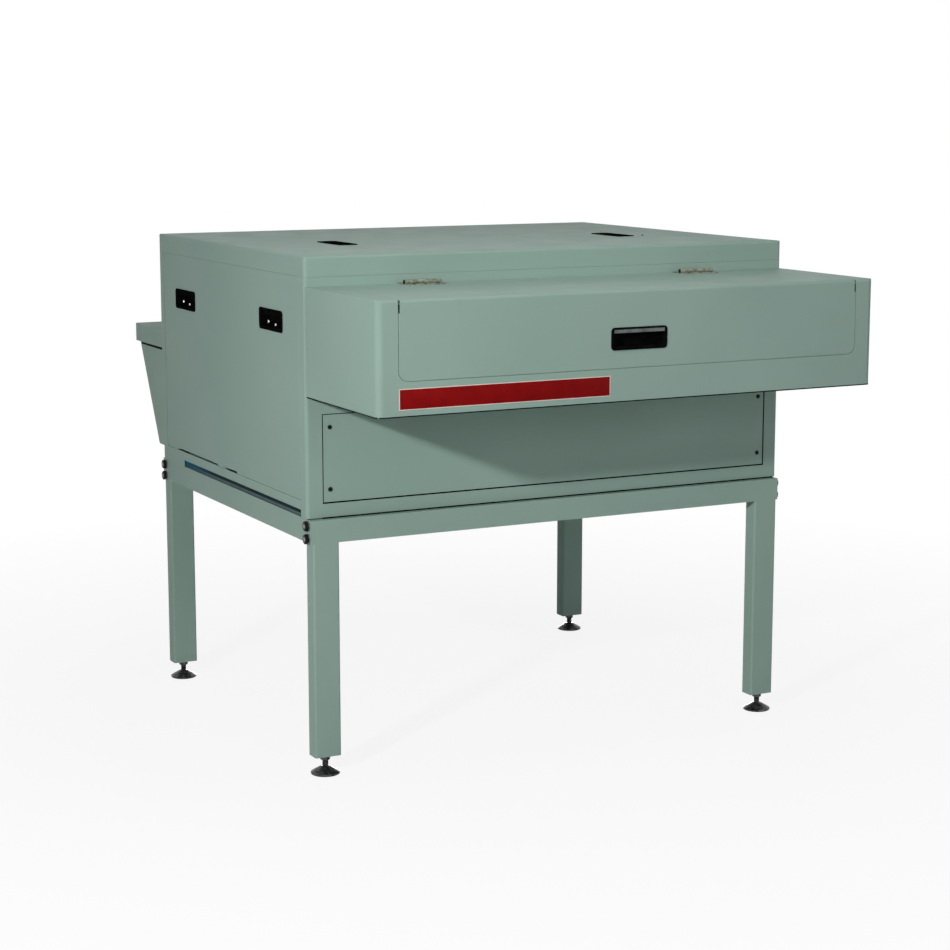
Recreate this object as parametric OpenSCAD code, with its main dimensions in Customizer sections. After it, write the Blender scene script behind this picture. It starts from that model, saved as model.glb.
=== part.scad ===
// Film processor for imagesetter film: a sheet-metal cabinet on a bolted stand,
// with a light-tight feed box in front and a film receiver behind.
// X runs to the right, Y to the rear and Z up, with the floor at Z = 0.

/* [Stand] */
// Distance of the stand's sides inside the cabinet's
stand_in = 4; // [2:1:60]
// Distance of the legs outside the cabinet's front and rear
stand_out = 14; // [0:1:40]
// Height of the stand's top above the floor
stand_h = 502; // [350:1:650]
// Outside width of the legs, along the front
leg_w = 54; // [45:1:65]
// Outside depth of the legs
leg_d = 35; // [26:1:45]
// Wall of the legs and rails
leg_wall = 2.5; // [2:0.5:4]
// Height of the rails
rail_h = 45; // [44:1:70]
// Bottom of the legs above the floor
leg_bottom = 37; // [34:1:60]
// Thickness of the plate that closes a leg's lower end
leg_plate = 5; // [4:0.5:8]
// Thickness of the tapped plates at the ends of the cross rails
rail_plate = 8; // [6:0.5:12]
// Thread diameter of the frame bolts
bolt_d = 10; // [8:1:12]
// Size across the flats of the frame bolts' heads
bolt_af = 17; // [13:1:19]
// Height of the frame bolts' heads
bolt_head_h = 6.5; // [5:0.5:8]
// Distance between the two bolts of a corner
bolt_spacing = 25; // [22:1:28]
// Diameter of a levelling foot
foot_d = 57; // [40:1:80]
// Thickness of a foot's disc at its edge
foot_disc_h = 4; // [3:0.5:8]
// Height of the cone on a foot's disc
foot_cone_h = 11; // [6:0.5:14]
// Diameter of the foot studs
stud_d = 12; // [10:1:16]
// Length of a stud inside its leg
stud_in_leg = 38; // [34:1:60]
// Size across the flats of the lock nuts
nut_af = 18; // [17:1:24]
// Height of the lock nuts
nut_h = 9; // [6:0.5:12]

/* [Cabinet] */
// Width of the cabinet
cabinet_w = 1070; // [1050:1:1200]
// Depth of the cabinet
cabinet_d = 822; // [815:1:900]
// Height of the cabinet from the stand to the top of its cover
cabinet_h = 498; // [470:1:600]
// Thickness of the sheet metal
sheet = 2; // [1.5:0.1:2.5]
// Radius of the cabinet's upright edges
corner_r = 7; // [5:0.5:12]
// Radius of the cover's upper edges
cover_r = 5; // [4:0.5:8]
// Height of the cover's skirt
cover_h = 39; // [30:1:50]
// Width of the corner posts on the sides
post_w = 28; // [20:1:40]
// Open seam between neighbouring panels
seam = 0.8; // [0.5:0.1:0.9]
// Height of the packing between stand and cabinet
packing_h = 16; // [10:1:20]
// Width of the packing strips
packing_w = 30; // [20:1:40]
// Height of the base pan's side flange
base_h = 18; // [14:1:26]
// Depth of the side panels' folded edges
panel_fold = 11; // [8:0.5:14]

/* [Access panel] */
// Distance of the access panel inside the cabinet's sides
access_in = 35; // [30:1:120]
// Height of the access panel
access_h = 168; // [120:1:175]
// Bottom of the access panel above the stand
access_z = 31; // [28:1:40]
// Open seam round the access panel
access_seam = 1.5; // [1:0.1:2.5]
// Width of the flange behind the access panel's edge
access_flange = 22; // [15:1:30]

/* [Flush pulls] */
// Length of a flush pull
pull_l = 120; // [100:1:140]
// Height of a flush pull
pull_h = 42; // [36:1:50]
// Depth of a pull's cup behind the panel
pull_depth = 15; // [10:0.5:18]
// Thickness of a pull's flange
pull_flange = 1.5; // [1:0.1:3]
// Width of a pull's flange round its cup
pull_rim = 6; // [4:0.5:8]
// Wall of a pull's cup
pull_wall = 1.5; // [1:0.1:2.5]
// Distance between the two pulls of a side panel
side_pull_spacing = 488; // [300:1:560]
// Height of the side pulls above the stand
side_pull_z = 366; // [200:1:400]
// Distance between the two pulls of the cover
top_pull_spacing = 648; // [400:1:800]
// Distance of the cover's pulls in front of the cabinet's middle
top_pull_ahead = 82; // [0:1:150]

/* [Feed box] */
// Distance of the feed box's ends inside the cabinet's sides
feed_in = 3; // [2:0.5:10]
// Depth of the feed box in front of the cabinet
feed_d = 319; // [250:1:400]
// Height of the feed box
feed_h = 206; // [180:1:214]
// Bottom of the feed box above the stand
feed_z = 235; // [228:1:245]
// Radius of the feed box's upright edges
feed_r = 12; // [6:1:20]
// Radius of the bend between the lid's top and its flap
lid_bend_r = 6; // [4:0.5:10]
// Width of the fixed strips beside the lid
lid_side = 42; // [36:1:60]
// Height of the lid's front flap
flap_h = 144; // [110:1:146]
// Radius of the flap's lower corners
flap_r = 18; // [8:1:30]
// Open seam round the lid
lid_seam = 1; // [0.8:0.1:2.5]
// Width of the fixed strip that carries the lid's hinges
hinge_strip = 32; // [29:1:45]
// Width of the ledge under the lid's edges
ledge_w = 17; // [12:1:25]
// Height of the lid's pull above the flap's lower edge
lid_pull_z = 54; // [40:1:100]

/* [Hinges] */
// Length of a hinge
hinge_l = 76; // [60:1:100]
// Distance between the two hinges of a lid
hinge_spacing = 612; // [400:1:800]
// Width of a hinge leaf from the pin's axis
leaf_w = 27; // [20:1:28]
// Thickness of a hinge leaf
leaf_t = 2; // [1.5:0.1:2.5]
// Outside diameter of a hinge's knuckles
knuckle_d = 9; // [8:0.5:11]
// Diameter of a hinge pin
hinge_pin_d = 5; // [4:0.5:6]

/* [Receiver] */
// Distance of the receiver's lid inside the cabinet's sides
receiver_in = 7; // [5:1:80]
// Reach of the receiver's lid behind the cabinet
receiver_reach = 200; // [150:1:260]
// Height of the receiver lid's skirt
rim_h = 39; // [25:1:50]
// Top of the receiver's lid above the stand
rim_z = 285; // [282:1:300]
// Bottom of the receiver above the stand
bin_z = 26; // [10:1:60]
// Reach of the bin's floor behind the cabinet
bin_floor = 57; // [30:1:90]
// Space between the bin and the lid's skirt
bin_inset = 1.5; // [1:0.5:8]
// Depth of the bin's rear edge inside the lid's skirt
bin_back_inset = 5; // [4:1:20]

/* [Film path] */
// Height of the film above the stand
film_z = 270; // [268:0.5:274]
// Diameter of the transport rollers
roller_d = 36; // [32:0.5:38]
// Gap between the two rollers of a pair
nip_gap = 0.4; // [0.3:0.1:0.8]
// Diameter of the roller shafts
shaft_d = 12; // [10:0.5:13]
// Clearance of the shafts in their bores, on the radius
shaft_fit = 0.05; // [0.03:0.01:0.08]
// Diameter of the turn rollers in the tanks
turn_d = 50; // [40:1:54]
// Height of the film slots
slot_h = 16; // [12:1:18]
// Distance from the cabinet's front to the feed rollers
feed_roller_in = 41; // [36:1:44]
// Distance from the cabinet's rear to the exit rollers
exit_roller_in = 36; // [34:1:40]

/* [Tanks] */
// Space between the left side and the tanks
left_bay = 57; // [50:1:70]
// Space between the right side and the tanks, for the drive
drive_bay = 143; // [138:1:160]
// Distance from the cabinet's front to the first tank
tank_front = 66; // [64:1:72]
// Share of the film's way that the developer tank takes
developer_share = 0.275; // [0.26:0.005:0.28]
// Share of the film's way that the fixer tank takes
fixer_share = 0.21; // [0.2:0.005:0.215]
// Share of the film's way that the wash tank takes
wash_share = 0.21; // [0.2:0.005:0.215]
// Space between two tanks
tank_gap = 5; // [3:1:7]
// Wall of the tanks
tank_wall = 4; // [3:0.5:5]
// Height of the tanks
tank_h = 145; // [135:1:146]
// Bottom of the tanks above the stand
tank_z = 98; // [94:1:100]
// Distance of a roller pair from its tank's rear wall
pair_in = 26; // [24:1:30]
// Height of a turn roller's axis over the tank's floor
turn_z = 86; // [80:1:90]
// Thickness of the rack plates
rack_plate = 6; // [4:0.5:8]
// Space between a rack plate and the tank's wall
rack_gap = 8; // [5:0.5:10]
// Diameter of the racks' tie rods
tie_d = 10; // [8:1:14]
// Outside diameter of the drain spigots
spigot_d = 22; // [18:1:26]
// Bore of the drain spigots
spigot_bore = 16; // [12:1:17]
// Length of a spigot's tail, over which the hose goes
spigot_tail = 40; // [30:1:60]
// Wall of a spigot's thicker neck over its tail
spigot_neck = 2; // [1:0.5:4]
// Diameter of the tank heaters
heater_d = 10; // [8:1:12]
// Length of a tank heater inside its tank
heater_l = 350; // [200:1:500]

/* [Drive] */
// Teeth of the roller gears
gear_teeth = 14; // [14:2:18]
// Face width of the roller gears
gear_face = 10; // [8:0.5:11]
// Thinning of each gear tooth for backlash
backlash = 0.3; // [0.2:0.05:0.4]
// Teeth of the chain sprockets
sprocket_teeth = 13; // [12:1:14]
// Pitch of the drive chain
chain_pitch = 9.525; // [9.525:0.025:9.6]
// Thickness of the sprockets
sprocket_t = 5.2; // [4:0.1:5.4]
// Height of the chain's link plates
link_h = 8; // [7:0.5:8.5]
// Thickness of the chain's link plates
link_t = 1.2; // [1:0.1:1.4]
// Diameter of the drive motor
motor_d = 60; // [50:1:62]
// Length of the drive motor below its gearbox
motor_l = 110; // [80:1:140]
// Size of the gearbox
gearbox_size = 78; // [64:1:80]

/* [Dryer] */
// Space between the air boxes and the exit rollers
dryer_clear = 20; // [15:1:40]
// Height of the air boxes
air_box_h = 70; // [50:1:74]
// Space between the film and an air box
air_box_gap = 26; // [24:1:30]
// Width of the air slots
air_slot = 5; // [3:0.5:8]
// Size of the dryer fan's frame
fan_size = 119; // [92:1:120]
// Depth of the dryer fan
fan_depth = 38; // [32:1:42]
// Blades of the dryer fan
fan_blades = 7; // [5:1:9]

/* [Hidden] */

$fn = 48;
// Amount by which a cut runs past the face that it opens
over = 1;
// Gap between a part that lifts or turns away and its seat
seat = 0.3;

paint = [0.62, 0.71, 0.67];
dark_paint = [0.30, 0.34, 0.36];
black = [0.06, 0.06, 0.07];
steel = [0.70, 0.71, 0.72];
dark_steel = [0.28, 0.28, 0.29];
brass = [0.72, 0.58, 0.28];
pvc = [0.55, 0.58, 0.62];
rubber = [0.15, 0.15, 0.16];
packing_blue = [0.16, 0.20, 0.26];

// Widths and depths that follow the cabinet's
stand_w = cabinet_w - 2 * stand_in;
stand_d = cabinet_d + 2 * stand_out;
access_w = cabinet_w - 2 * access_in;
feed_w = cabinet_w - 2 * feed_in;
receiver_w = cabinet_w - 2 * receiver_in;

// Places along Y: the part is centred between the lid's pull and the receiver's edge
mid_y = (feed_d + pull_flange - receiver_reach) / 2;
front_y = mid_y - cabinet_d / 2;
rear_y = mid_y + cabinet_d / 2;
feed_y = front_y - feed_d;

// Places along X: tanks, rack plates, gears and sprockets
tank_x0 = left_bay - cabinet_w / 2;
tank_x1 = cabinet_w / 2 - drive_bay;
tank_x = (tank_x0 + tank_x1) / 2;
gear_gap = 3;
rack_x0 = tank_x0 + tank_wall + 2 * rack_gap - gear_gap;
gear_clear = 1;
rack_x1 = tank_x1 - tank_wall - gear_face - 2 * gear_gap - gear_clear;
face_gap = 5;
gear_x = rack_x1 + gear_gap;
sprocket_x = tank_x1 + rack_gap;
link_gap = 0.3;
bracket_x = sprocket_x + sprocket_t + link_gap + link_t + gear_gap;

// Places along Z
base_z = stand_h + packing_h;
floor_z = base_z + sheet;
base_top = base_z + base_h;
cover_top = stand_h + cabinet_h;
cover_z = cover_top - cover_h;
panel_top = cover_z - seat;
feed_bottom = stand_h + feed_z;
feed_top = feed_bottom + feed_h;
flap_bottom = feed_top - flap_h;
film = stand_h + film_z;
pair_step = roller_d + nip_gap;
bearing_edge = 1.5 * shaft_d;
lower_z = film - pair_step / 2;
upper_z = film + pair_step / 2;
tank_floor = stand_h + tank_z + tank_wall;

// Tanks and roller pairs along the film's way
developer_y = front_y + tank_front;
film_way = rear_y - exit_roller_in - developer_y;
developer_l = developer_share * film_way;
fixer_l = fixer_share * film_way;
wash_l = wash_share * film_way;
fixer_y = developer_y + developer_l + tank_gap;
wash_y = fixer_y + fixer_l + tank_gap;
wash_end = wash_y + wash_l;
feed_pair_y = front_y + feed_roller_in;
exit_pair_y = rear_y - exit_roller_in;
function pair_y(tank_y, tank_l) = tank_y + tank_l - tank_wall - pair_in;
function turn_y(tank_y, tank_l) = (tank_y + tank_wall + pair_y(tank_y, tank_l)) / 2;
pairs = [feed_pair_y, pair_y(developer_y, developer_l), pair_y(fixer_y, fixer_l),
    pair_y(wash_y, wash_l), exit_pair_y];

// Dryer
dryer_gap = 10;
air_box_in = 12;
dryer_y = wash_end + dryer_gap;
dryer_plate = rack_plate;
air_box_y = dryer_y + air_box_in;
dryer_l = exit_pair_y - roller_d / 2 - dryer_clear - air_box_y;
dryer_top = film + air_box_gap + air_box_h;

// Hinges
hinge_fit = 0.05;
hinge_lift = 0.5;
hinge_rise = knuckle_d / 2 + hinge_lift;
knuckle_gap = 0.4;
lid_axis_y = front_y - hinge_strip;
receiver_axis_y = rear_y + hinge_rise;
receiver_top = stand_h + rim_z;

// Motor on the developer rollers' lower shaft
motor_y = pairs[1];
gearbox_t = motor_d;
motor_gap = 1;

// Rectangle with true arcs at its corners, centred
module rounded(w, h, r) {
    square([w - 2 * r, h], center = true);
    square([w, h - 2 * r], center = true);
    for (sx = [-1, 1], sy = [-1, 1])
        translate([sx * (w / 2 - r), sy * (h / 2 - r)]) circle(r);
}

// Box given by its lowest and highest corners
module block(low, high) {
    translate(low) cube(high - low);
}

// Round bar along X from x0 to x1
module bar_x(d, x0, x1, y, z) {
    translate([x0, y, z]) rotate([0, 90, 0]) cylinder(d = d, h = x1 - x0);
}

// Round bar along Y from y0 to y1
module bar_y(d, y0, y1, x, z) {
    translate([x, y0, z]) rotate([-90, 0, 0]) cylinder(d = d, h = y1 - y0);
}

// Solid made by pushing a profile, drawn as Y across and Z up, from x0 to x1
module push_x(x0, x1) {
    translate([x0, 0, 0]) rotate([90, 0, 90]) linear_extrude(x1 - x0) children();
}

// Solid made by pushing a profile, drawn as X across and Z up, from y0 to y1
module push_y(y0, y1) {
    translate([0, y1, 0]) rotate([90, 0, 0]) linear_extrude(y1 - y0) children();
}

// Hexagonal prism along Z
module hexagon(af, h) {
    cylinder(d = af / cos(30), h = h, $fn = 6);
}

// Stand

leg_x = (stand_w - leg_w) / 2 - leg_wall;
leg_y = (stand_d - leg_d) / 2;
leg_r = 4;
rail_z = stand_h - rail_h;
bolt_drop = 2;
bolt_low = rail_z + (rail_h - bolt_spacing) / 2 - bolt_drop;
washer_t = 2;
bolt_slack = 0.2;

// Folded rail of width w: an upright web with a flange along its top and bottom
module rail_profile(w, web_side) {
    difference() {
        translate([0, rail_h / 2]) square([w, rail_h], center = true);
        translate([-web_side * leg_wall, rail_h / 2])
            square([w, rail_h - 2 * leg_wall], center = true);
    }
}

// Leg with round edges below the rails and square ones between them
module leg() {
    height = stand_h - leg_bottom;
    difference() {
        union() {
            linear_extrude(height) rounded(leg_w, leg_d, leg_r);
            translate([0, 0, height - rail_h / 2]) cube([leg_w, leg_d, rail_h], center = true);
        }
        translate([0, 0, leg_plate]) linear_extrude(height - leg_plate - leg_wall)
            rounded(leg_w - 2 * leg_wall, leg_d - 2 * leg_wall, leg_r - leg_wall / 2);
        translate([0, 0, -over]) cylinder(d = stud_d + 2 * shaft_fit, h = leg_plate + 2 * over);
    }
}

module bolt_holes(side) {
    for (sy = [-1, 1], k = [0, 1])
        bar_x(bolt_d + 2 * bolt_slack, side * leg_x - leg_w, side * leg_x + leg_w,
            mid_y + sy * leg_y, bolt_low + k * bolt_spacing);
}

// Two legs and a rail, whose web runs on outside the legs to the stand's corners
module stand_frame(side) {
    rail_w = leg_w + leg_wall;
    color(paint) difference() {
        union() {
            for (sy = [-1, 1])
                translate([side * leg_x, mid_y + sy * leg_y, leg_bottom]) leg();
            translate([side * (stand_w - rail_w) / 2, 0, rail_z])
                push_y(mid_y - stand_d / 2 + leg_d, mid_y + stand_d / 2 - leg_d) rail_profile(rail_w, side);
            translate([side * (stand_w - leg_wall) / 2, mid_y, rail_z + rail_h / 2])
                cube([leg_wall, stand_d, rail_h], center = true);
        }
        bolt_holes(side);
    }
}

module left_stand_frame() {
    stand_frame(-1);
}

module right_stand_frame() {
    stand_frame(1);
}

module cross_rails() {
    inner_x = leg_x - leg_w / 2;
    color(paint) difference() {
        for (sy = [-1, 1]) translate([0, mid_y + sy * leg_y, rail_z]) {
            push_x(-inner_x, inner_x) rail_profile(leg_d, sy);
            for (sx = [-1, 1])
                translate([sx * (inner_x - rail_plate / 2), 0, rail_h / 2])
                    cube([rail_plate, leg_d, rail_h], center = true);
        }
        bolt_holes(-1);
        bolt_holes(1);
    }
}

module frame_bolts() {
    length = leg_wall + leg_w + rail_plate;
    color(dark_steel) for (side = [-1, 1], sy = [-1, 1], k = [0, 1])
        translate([side * stand_w / 2, mid_y + sy * leg_y, bolt_low + k * bolt_spacing])
            rotate([0, side * 90, 0]) {
                cylinder(d = 2 * bolt_d, h = washer_t);
                translate([0, 0, washer_t]) hexagon(bolt_af, bolt_head_h);
                translate([0, 0, -length]) cylinder(d = bolt_d, h = length + washer_t);
            }
}

module foot_lock_nuts() {
    color(steel) for (sx = [-1, 1], sy = [-1, 1])
        translate([sx * leg_x, mid_y + sy * leg_y, leg_bottom - nut_h]) difference() {
            hexagon(nut_af, nut_h);
            translate([0, 0, -over]) cylinder(d = stud_d + 2 * shaft_fit, h = nut_h + 2 * over);
        }
}

module foot(sx, sy) {
    hub_d = 1.5 * stud_d;
    color(steel) translate([sx * leg_x, mid_y + sy * leg_y, 0]) {
        cylinder(d = foot_d, h = foot_disc_h);
        translate([0, 0, foot_disc_h]) cylinder(d1 = foot_d, d2 = hub_d, h = foot_cone_h);
        cylinder(d = stud_d, h = leg_bottom + stud_in_leg);
    }
}

module foot_front_left() {
    foot(-1, -1);
}

module foot_front_right() {
    foot(1, -1);
}

module foot_rear_left() {
    foot(-1, 1);
}

module foot_rear_right() {
    foot(1, 1);
}

// Cabinet

// Frame of packing that the base pan rests on, inside the cabinet's walls
module packing_strips() {
    inset = 1;
    w = stand_w - 2 * inset;
    d = cabinet_d - 2 * (sheet + inset);
    color(packing_blue) translate([0, mid_y, stand_h]) linear_extrude(packing_h) difference() {
        square([w, d], center = true);
        square([w - 2 * packing_w, d - 2 * packing_w], center = true);
    }
}

spigot_ys = [developer_y + developer_l / 2, fixer_y + fixer_l / 2, wash_y + wash_l / 2];
spigot_slack = 0.8;
neck_d = spigot_d + 2 * spigot_neck;
neck_end = 6;
apron_l = 105;

// Base pan with side flanges, which run down over the packing at the rear
module base_pan() {
    flange_l = cabinet_d - 2 * (post_w + seam);
    color(paint) difference() {
        union() {
            translate([0, mid_y, base_z]) linear_extrude(sheet)
                rounded(cabinet_w - 2 * sheet, cabinet_d - 2 * sheet, corner_r - sheet);
            for (side = [-1, 1]) translate([side * (cabinet_w - sheet) / 2, mid_y, 0]) {
                translate([0, 0, base_z + base_h / 2]) cube([sheet, flange_l, base_h], center = true);
                translate([-side * sheet / 2, 0, base_z + sheet / 2])
                    cube([2 * sheet, flange_l, sheet], center = true);
                translate([0, (flange_l - apron_l) / 2, (panel_bottom + base_top) / 2])
                    cube([sheet, apron_l, base_top - panel_bottom], center = true);
            }
        }
        for (y = spigot_ys) translate([tank_x, y, base_z - over])
            cylinder(d = neck_d + 2 * spigot_slack, h = sheet + 2 * over);
    }
}

// Outline of the cabinet's four walls, seen from above
module wall_outline() {
    difference() {
        rounded(cabinet_w, cabinet_d, corner_r);
        rounded(cabinet_w - 2 * sheet, cabinet_d - 2 * sheet, corner_r - sheet);
    }
}

stand_gap = 2;
panel_bottom = stand_h + stand_gap;

// End wall with its two corner posts and a folded seat for the cover; side is -1 at the front
module end_wall(side) {
    translate([0, mid_y, panel_bottom]) linear_extrude(panel_top - panel_bottom) intersection() {
        wall_outline();
        translate([0, side * (cabinet_d - post_w) / 2]) square([cabinet_w, post_w], center = true);
    }
    translate([0, mid_y + side * (cabinet_d / 2 - sheet - post_w / 4), panel_top - sheet / 2])
        cube([cabinet_w - 4 * sheet, post_w / 2 + sheet, sheet], center = true);
}

film_x0 = rack_x0 + 2 * rack_plate + 2 * face_gap;
film_x1 = rack_x1 - 2 * rack_plate - 2 * face_gap;

// Cut for the film through an end wall at y
module film_slot(y) {
    block([film_x0, y - 2 * post_w, film - slot_h / 2], [film_x1, y + 2 * post_w, film + slot_h / 2]);
}

// Pair of bores for a roller pair's shafts through both rack plates
module pair_bores(y) {
    for (z = [lower_z, upper_z])
        bar_x(shaft_d + 2 * shaft_fit, rack_x0 - over, rack_x1 + over, y, z);
}

access_mid = stand_h + access_z + access_h / 2;
access_hole_w = access_w + 2 * access_seam;
access_hole_h = access_h + 2 * access_seam;
backing_gap = 1;
backing = access_z - packing_h - sheet - access_seam - backing_gap;
access_r = 2;

module front_panel() {
    lug_h = pair_step + 2 * bearing_edge;
    lug_rear = feed_pair_y + bearing_edge;
    color(paint) difference() {
        union() {
            end_wall(-1);
            block([-access_hole_w / 2 - backing, front_y + sheet, access_mid - access_hole_h / 2 - backing],
                [access_hole_w / 2 + backing, front_y + 2 * sheet, access_mid + access_hole_h / 2 + backing]);
            for (x = [rack_x0, rack_x1 - rack_plate])
                block([x, front_y + sheet, film - lug_h / 2], [x + rack_plate, lug_rear, film + lug_h / 2]);
        }
        block([-access_hole_w / 2, front_y - over, access_mid - access_hole_h / 2],
            [access_hole_w / 2, front_y + sheet, access_mid + access_hole_h / 2]);
        block([access_flange - access_w / 2, front_y - over, access_mid - access_h / 2 + access_flange],
            [access_w / 2 - access_flange, front_y + 3 * sheet, access_mid + access_h / 2 - access_flange]);
        film_slot(front_y);
        pair_bores(feed_pair_y);
    }
}

module access_panel() {
    color(paint) translate([0, front_y + sheet, access_mid]) rotate([90, 0, 0])
        linear_extrude(sheet) rounded(access_w, access_h, access_r);
}

vent_l = 60;
vent_w = 6;
vent_count = 9;

module rear_panel() {
    vent_step = 3 * vent_w;
    vent_r = 0.45 * vent_w;
    vent_z = dryer_top + vent_l / 2;
    color(paint) difference() {
        end_wall(1);
        film_slot(rear_y);
        for (k = [0 : vent_count - 1])
            translate([tank_x + (k - (vent_count - 1) / 2) * vent_step, rear_y + over, vent_z])
                rotate([90, 0, 0]) linear_extrude(post_w) rounded(vent_w, vent_l, vent_r);
    }
}

// Flush pull: a flanged cup with its face at Z = 0, its mouth up and its long side along X

cup_l = pull_l - 2 * pull_rim;
cup_h = pull_h - 2 * pull_rim;
cup_r = 5;
pull_slack = 0.5;

module flush_pull() {
    lip = 5;
    flange_r = cup_r + pull_rim / 3;
    color(black) {
        difference() {
            union() {
                linear_extrude(pull_flange) rounded(pull_l, pull_h, flange_r);
                translate([0, 0, -pull_depth]) linear_extrude(pull_depth + pull_flange / 2)
                    rounded(cup_l, cup_h, cup_r);
            }
            translate([0, 0, pull_wall - pull_depth]) linear_extrude(pull_depth + pull_flange)
                rounded(cup_l - 2 * pull_wall, cup_h - 2 * pull_wall, cup_r - pull_wall);
        }
        // Finger lip along the upper edge of the mouth
        block([-cup_l / 2 + cup_r, cup_h / 2 - pull_wall - lip, -pull_wall],
            [cup_l / 2 - cup_r, cup_h / 2 - pull_wall / 2, pull_flange / 2]);
    }
}

// Cut through a sheet for a pull's cup
module pull_cut() {
    translate([0, 0, -pull_depth - over]) linear_extrude(pull_depth + over + pull_flange / 2)
        rounded(cup_l + 2 * pull_slack, cup_h + 2 * pull_slack, cup_r + pull_slack);
}

module at_side_pulls(side) {
    for (k = [-1, 1])
        translate([side * cabinet_w / 2, mid_y + k * side_pull_spacing / 2, stand_h + side_pull_z])
            rotate([90, 0, side * 90]) children();
}

module at_top_pulls() {
    for (side = [-1, 1])
        translate([side * top_pull_spacing / 2, mid_y - top_pull_ahead, cover_top])
            rotate([0, 0, -side * 90]) children();
}

module at_lid_pull() {
    translate([0, feed_y, flap_bottom + lid_pull_z]) rotate([90, 0, 0]) children();
}

// Ends of the finger slots in a side panel's lower edge, from the cabinet's middle
finger_slots = [[-45, 25], [66, 312]];

// Side panel: a sheet folded inwards along its four edges
module side_panel(side) {
    length = cabinet_d - 2 * (post_w + seam);
    low = base_top + seam;
    fold_r = 3;
    slot_rise = 3.5;
    color(paint) difference() {
        translate([side * (cabinet_w / 2 - panel_fold), mid_y, low]) linear_extrude(panel_top - low)
            intersection() {
                rounded(2 * panel_fold, length, fold_r);
                translate([side * panel_fold, 0]) square([2 * panel_fold, length], center = true);
            }
        translate([side * (cabinet_w / 2 - sheet - panel_fold), mid_y, (low + panel_top) / 2])
            cube([2 * panel_fold, length - 2 * sheet, panel_top - low - 2 * sheet], center = true);
        at_side_pulls(side) pull_cut();
        for (ends = finger_slots)
            translate([side * cabinet_w / 2, mid_y + (ends[0] + ends[1]) / 2, low])
                cube([2 * (panel_fold + over), ends[1] - ends[0], 2 * slot_rise], center = true);
    }
}

module left_side_panel() {
    side_panel(-1);
}

module right_side_panel() {
    side_panel(1);
}

module left_pulls() {
    at_side_pulls(-1) flush_pull();
}

module right_pulls() {
    at_side_pulls(1) flush_pull();
}

module top_pulls() {
    at_top_pulls() flush_pull();
}

module lid_pull() {
    at_lid_pull() flush_pull();
}

// Profile with round upper corners, standing on its lower edge
module arched(w, h, r) {
    translate([-w / 2, 0]) square([w, h - r]);
    translate([r - w / 2, 0]) square([w - 2 * r, h]);
    for (side = [-1, 1]) translate([side * (w / 2 - r), h - r]) circle(r);
}

module top_cover() {
    color(paint) difference() {
        intersection() {
            translate([0, mid_y, cover_z]) linear_extrude(cover_h) rounded(cabinet_w, cabinet_d, corner_r);
            translate([0, 0, cover_z]) push_y(front_y, rear_y) arched(cabinet_w, cover_h, cover_r);
            translate([0, mid_y, cover_z]) push_x(-cabinet_w / 2, cabinet_w / 2)
                arched(cabinet_d, cover_h, cover_r);
        }
        translate([0, mid_y, cover_z - over]) linear_extrude(cover_h - sheet + over)
            rounded(cabinet_w - 2 * sheet, cabinet_d - 2 * sheet, corner_r - sheet);
        at_top_pulls() pull_cut();
    }
}

// Feed box

lid_w = feed_w - 2 * lid_side;

// Side outline of the feed box, with its round upper front edge, drawn inwards by t
module feed_profile(t) {
    r = lid_bend_r - min(t, lid_bend_r / 2);
    low = feed_bottom + t;
    high = feed_top - t;
    translate([feed_y + t + r, low]) square([feed_d - t - r, high - low]);
    translate([feed_y + t, low]) square([feed_d - t, high - low - r]);
    translate([feed_y + t + r, high - r]) circle(r);
}

// Front outline of the lid's opening, larger than the lid by gap, running up past the top
module flap_outline(gap) {
    w = lid_w + 2 * gap;
    r = flap_r + gap;
    low = flap_bottom - gap;
    translate([-w / 2, low + r]) square([w, feed_top + over - low - r]);
    translate([r - w / 2, low]) square([w - 2 * r, 2 * r]);
    for (side = [-1, 1]) translate([side * (w / 2 - r), low + r]) circle(r);
}

// The box's sheet as a shell, open towards the cabinet
module feed_shell() {
    difference() {
        intersection() {
            push_x(-feed_w / 2, feed_w / 2) feed_profile(0);
            translate([0, feed_y + feed_d, feed_bottom]) linear_extrude(feed_h)
                rounded(feed_w, 2 * feed_d, feed_r);
        }
        intersection() {
            push_x(sheet - feed_w / 2, feed_w / 2 - sheet) feed_profile(sheet);
            translate([0, feed_y + feed_d, feed_bottom]) linear_extrude(feed_h)
                rounded(feed_w - 2 * sheet, 2 * feed_d - 2 * sheet, feed_r - sheet);
        }
        block([-feed_w / 2 + sheet, front_y - over, feed_bottom + sheet],
            [feed_w / 2 - sheet, front_y + over, feed_top - sheet]);
    }
}

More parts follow.
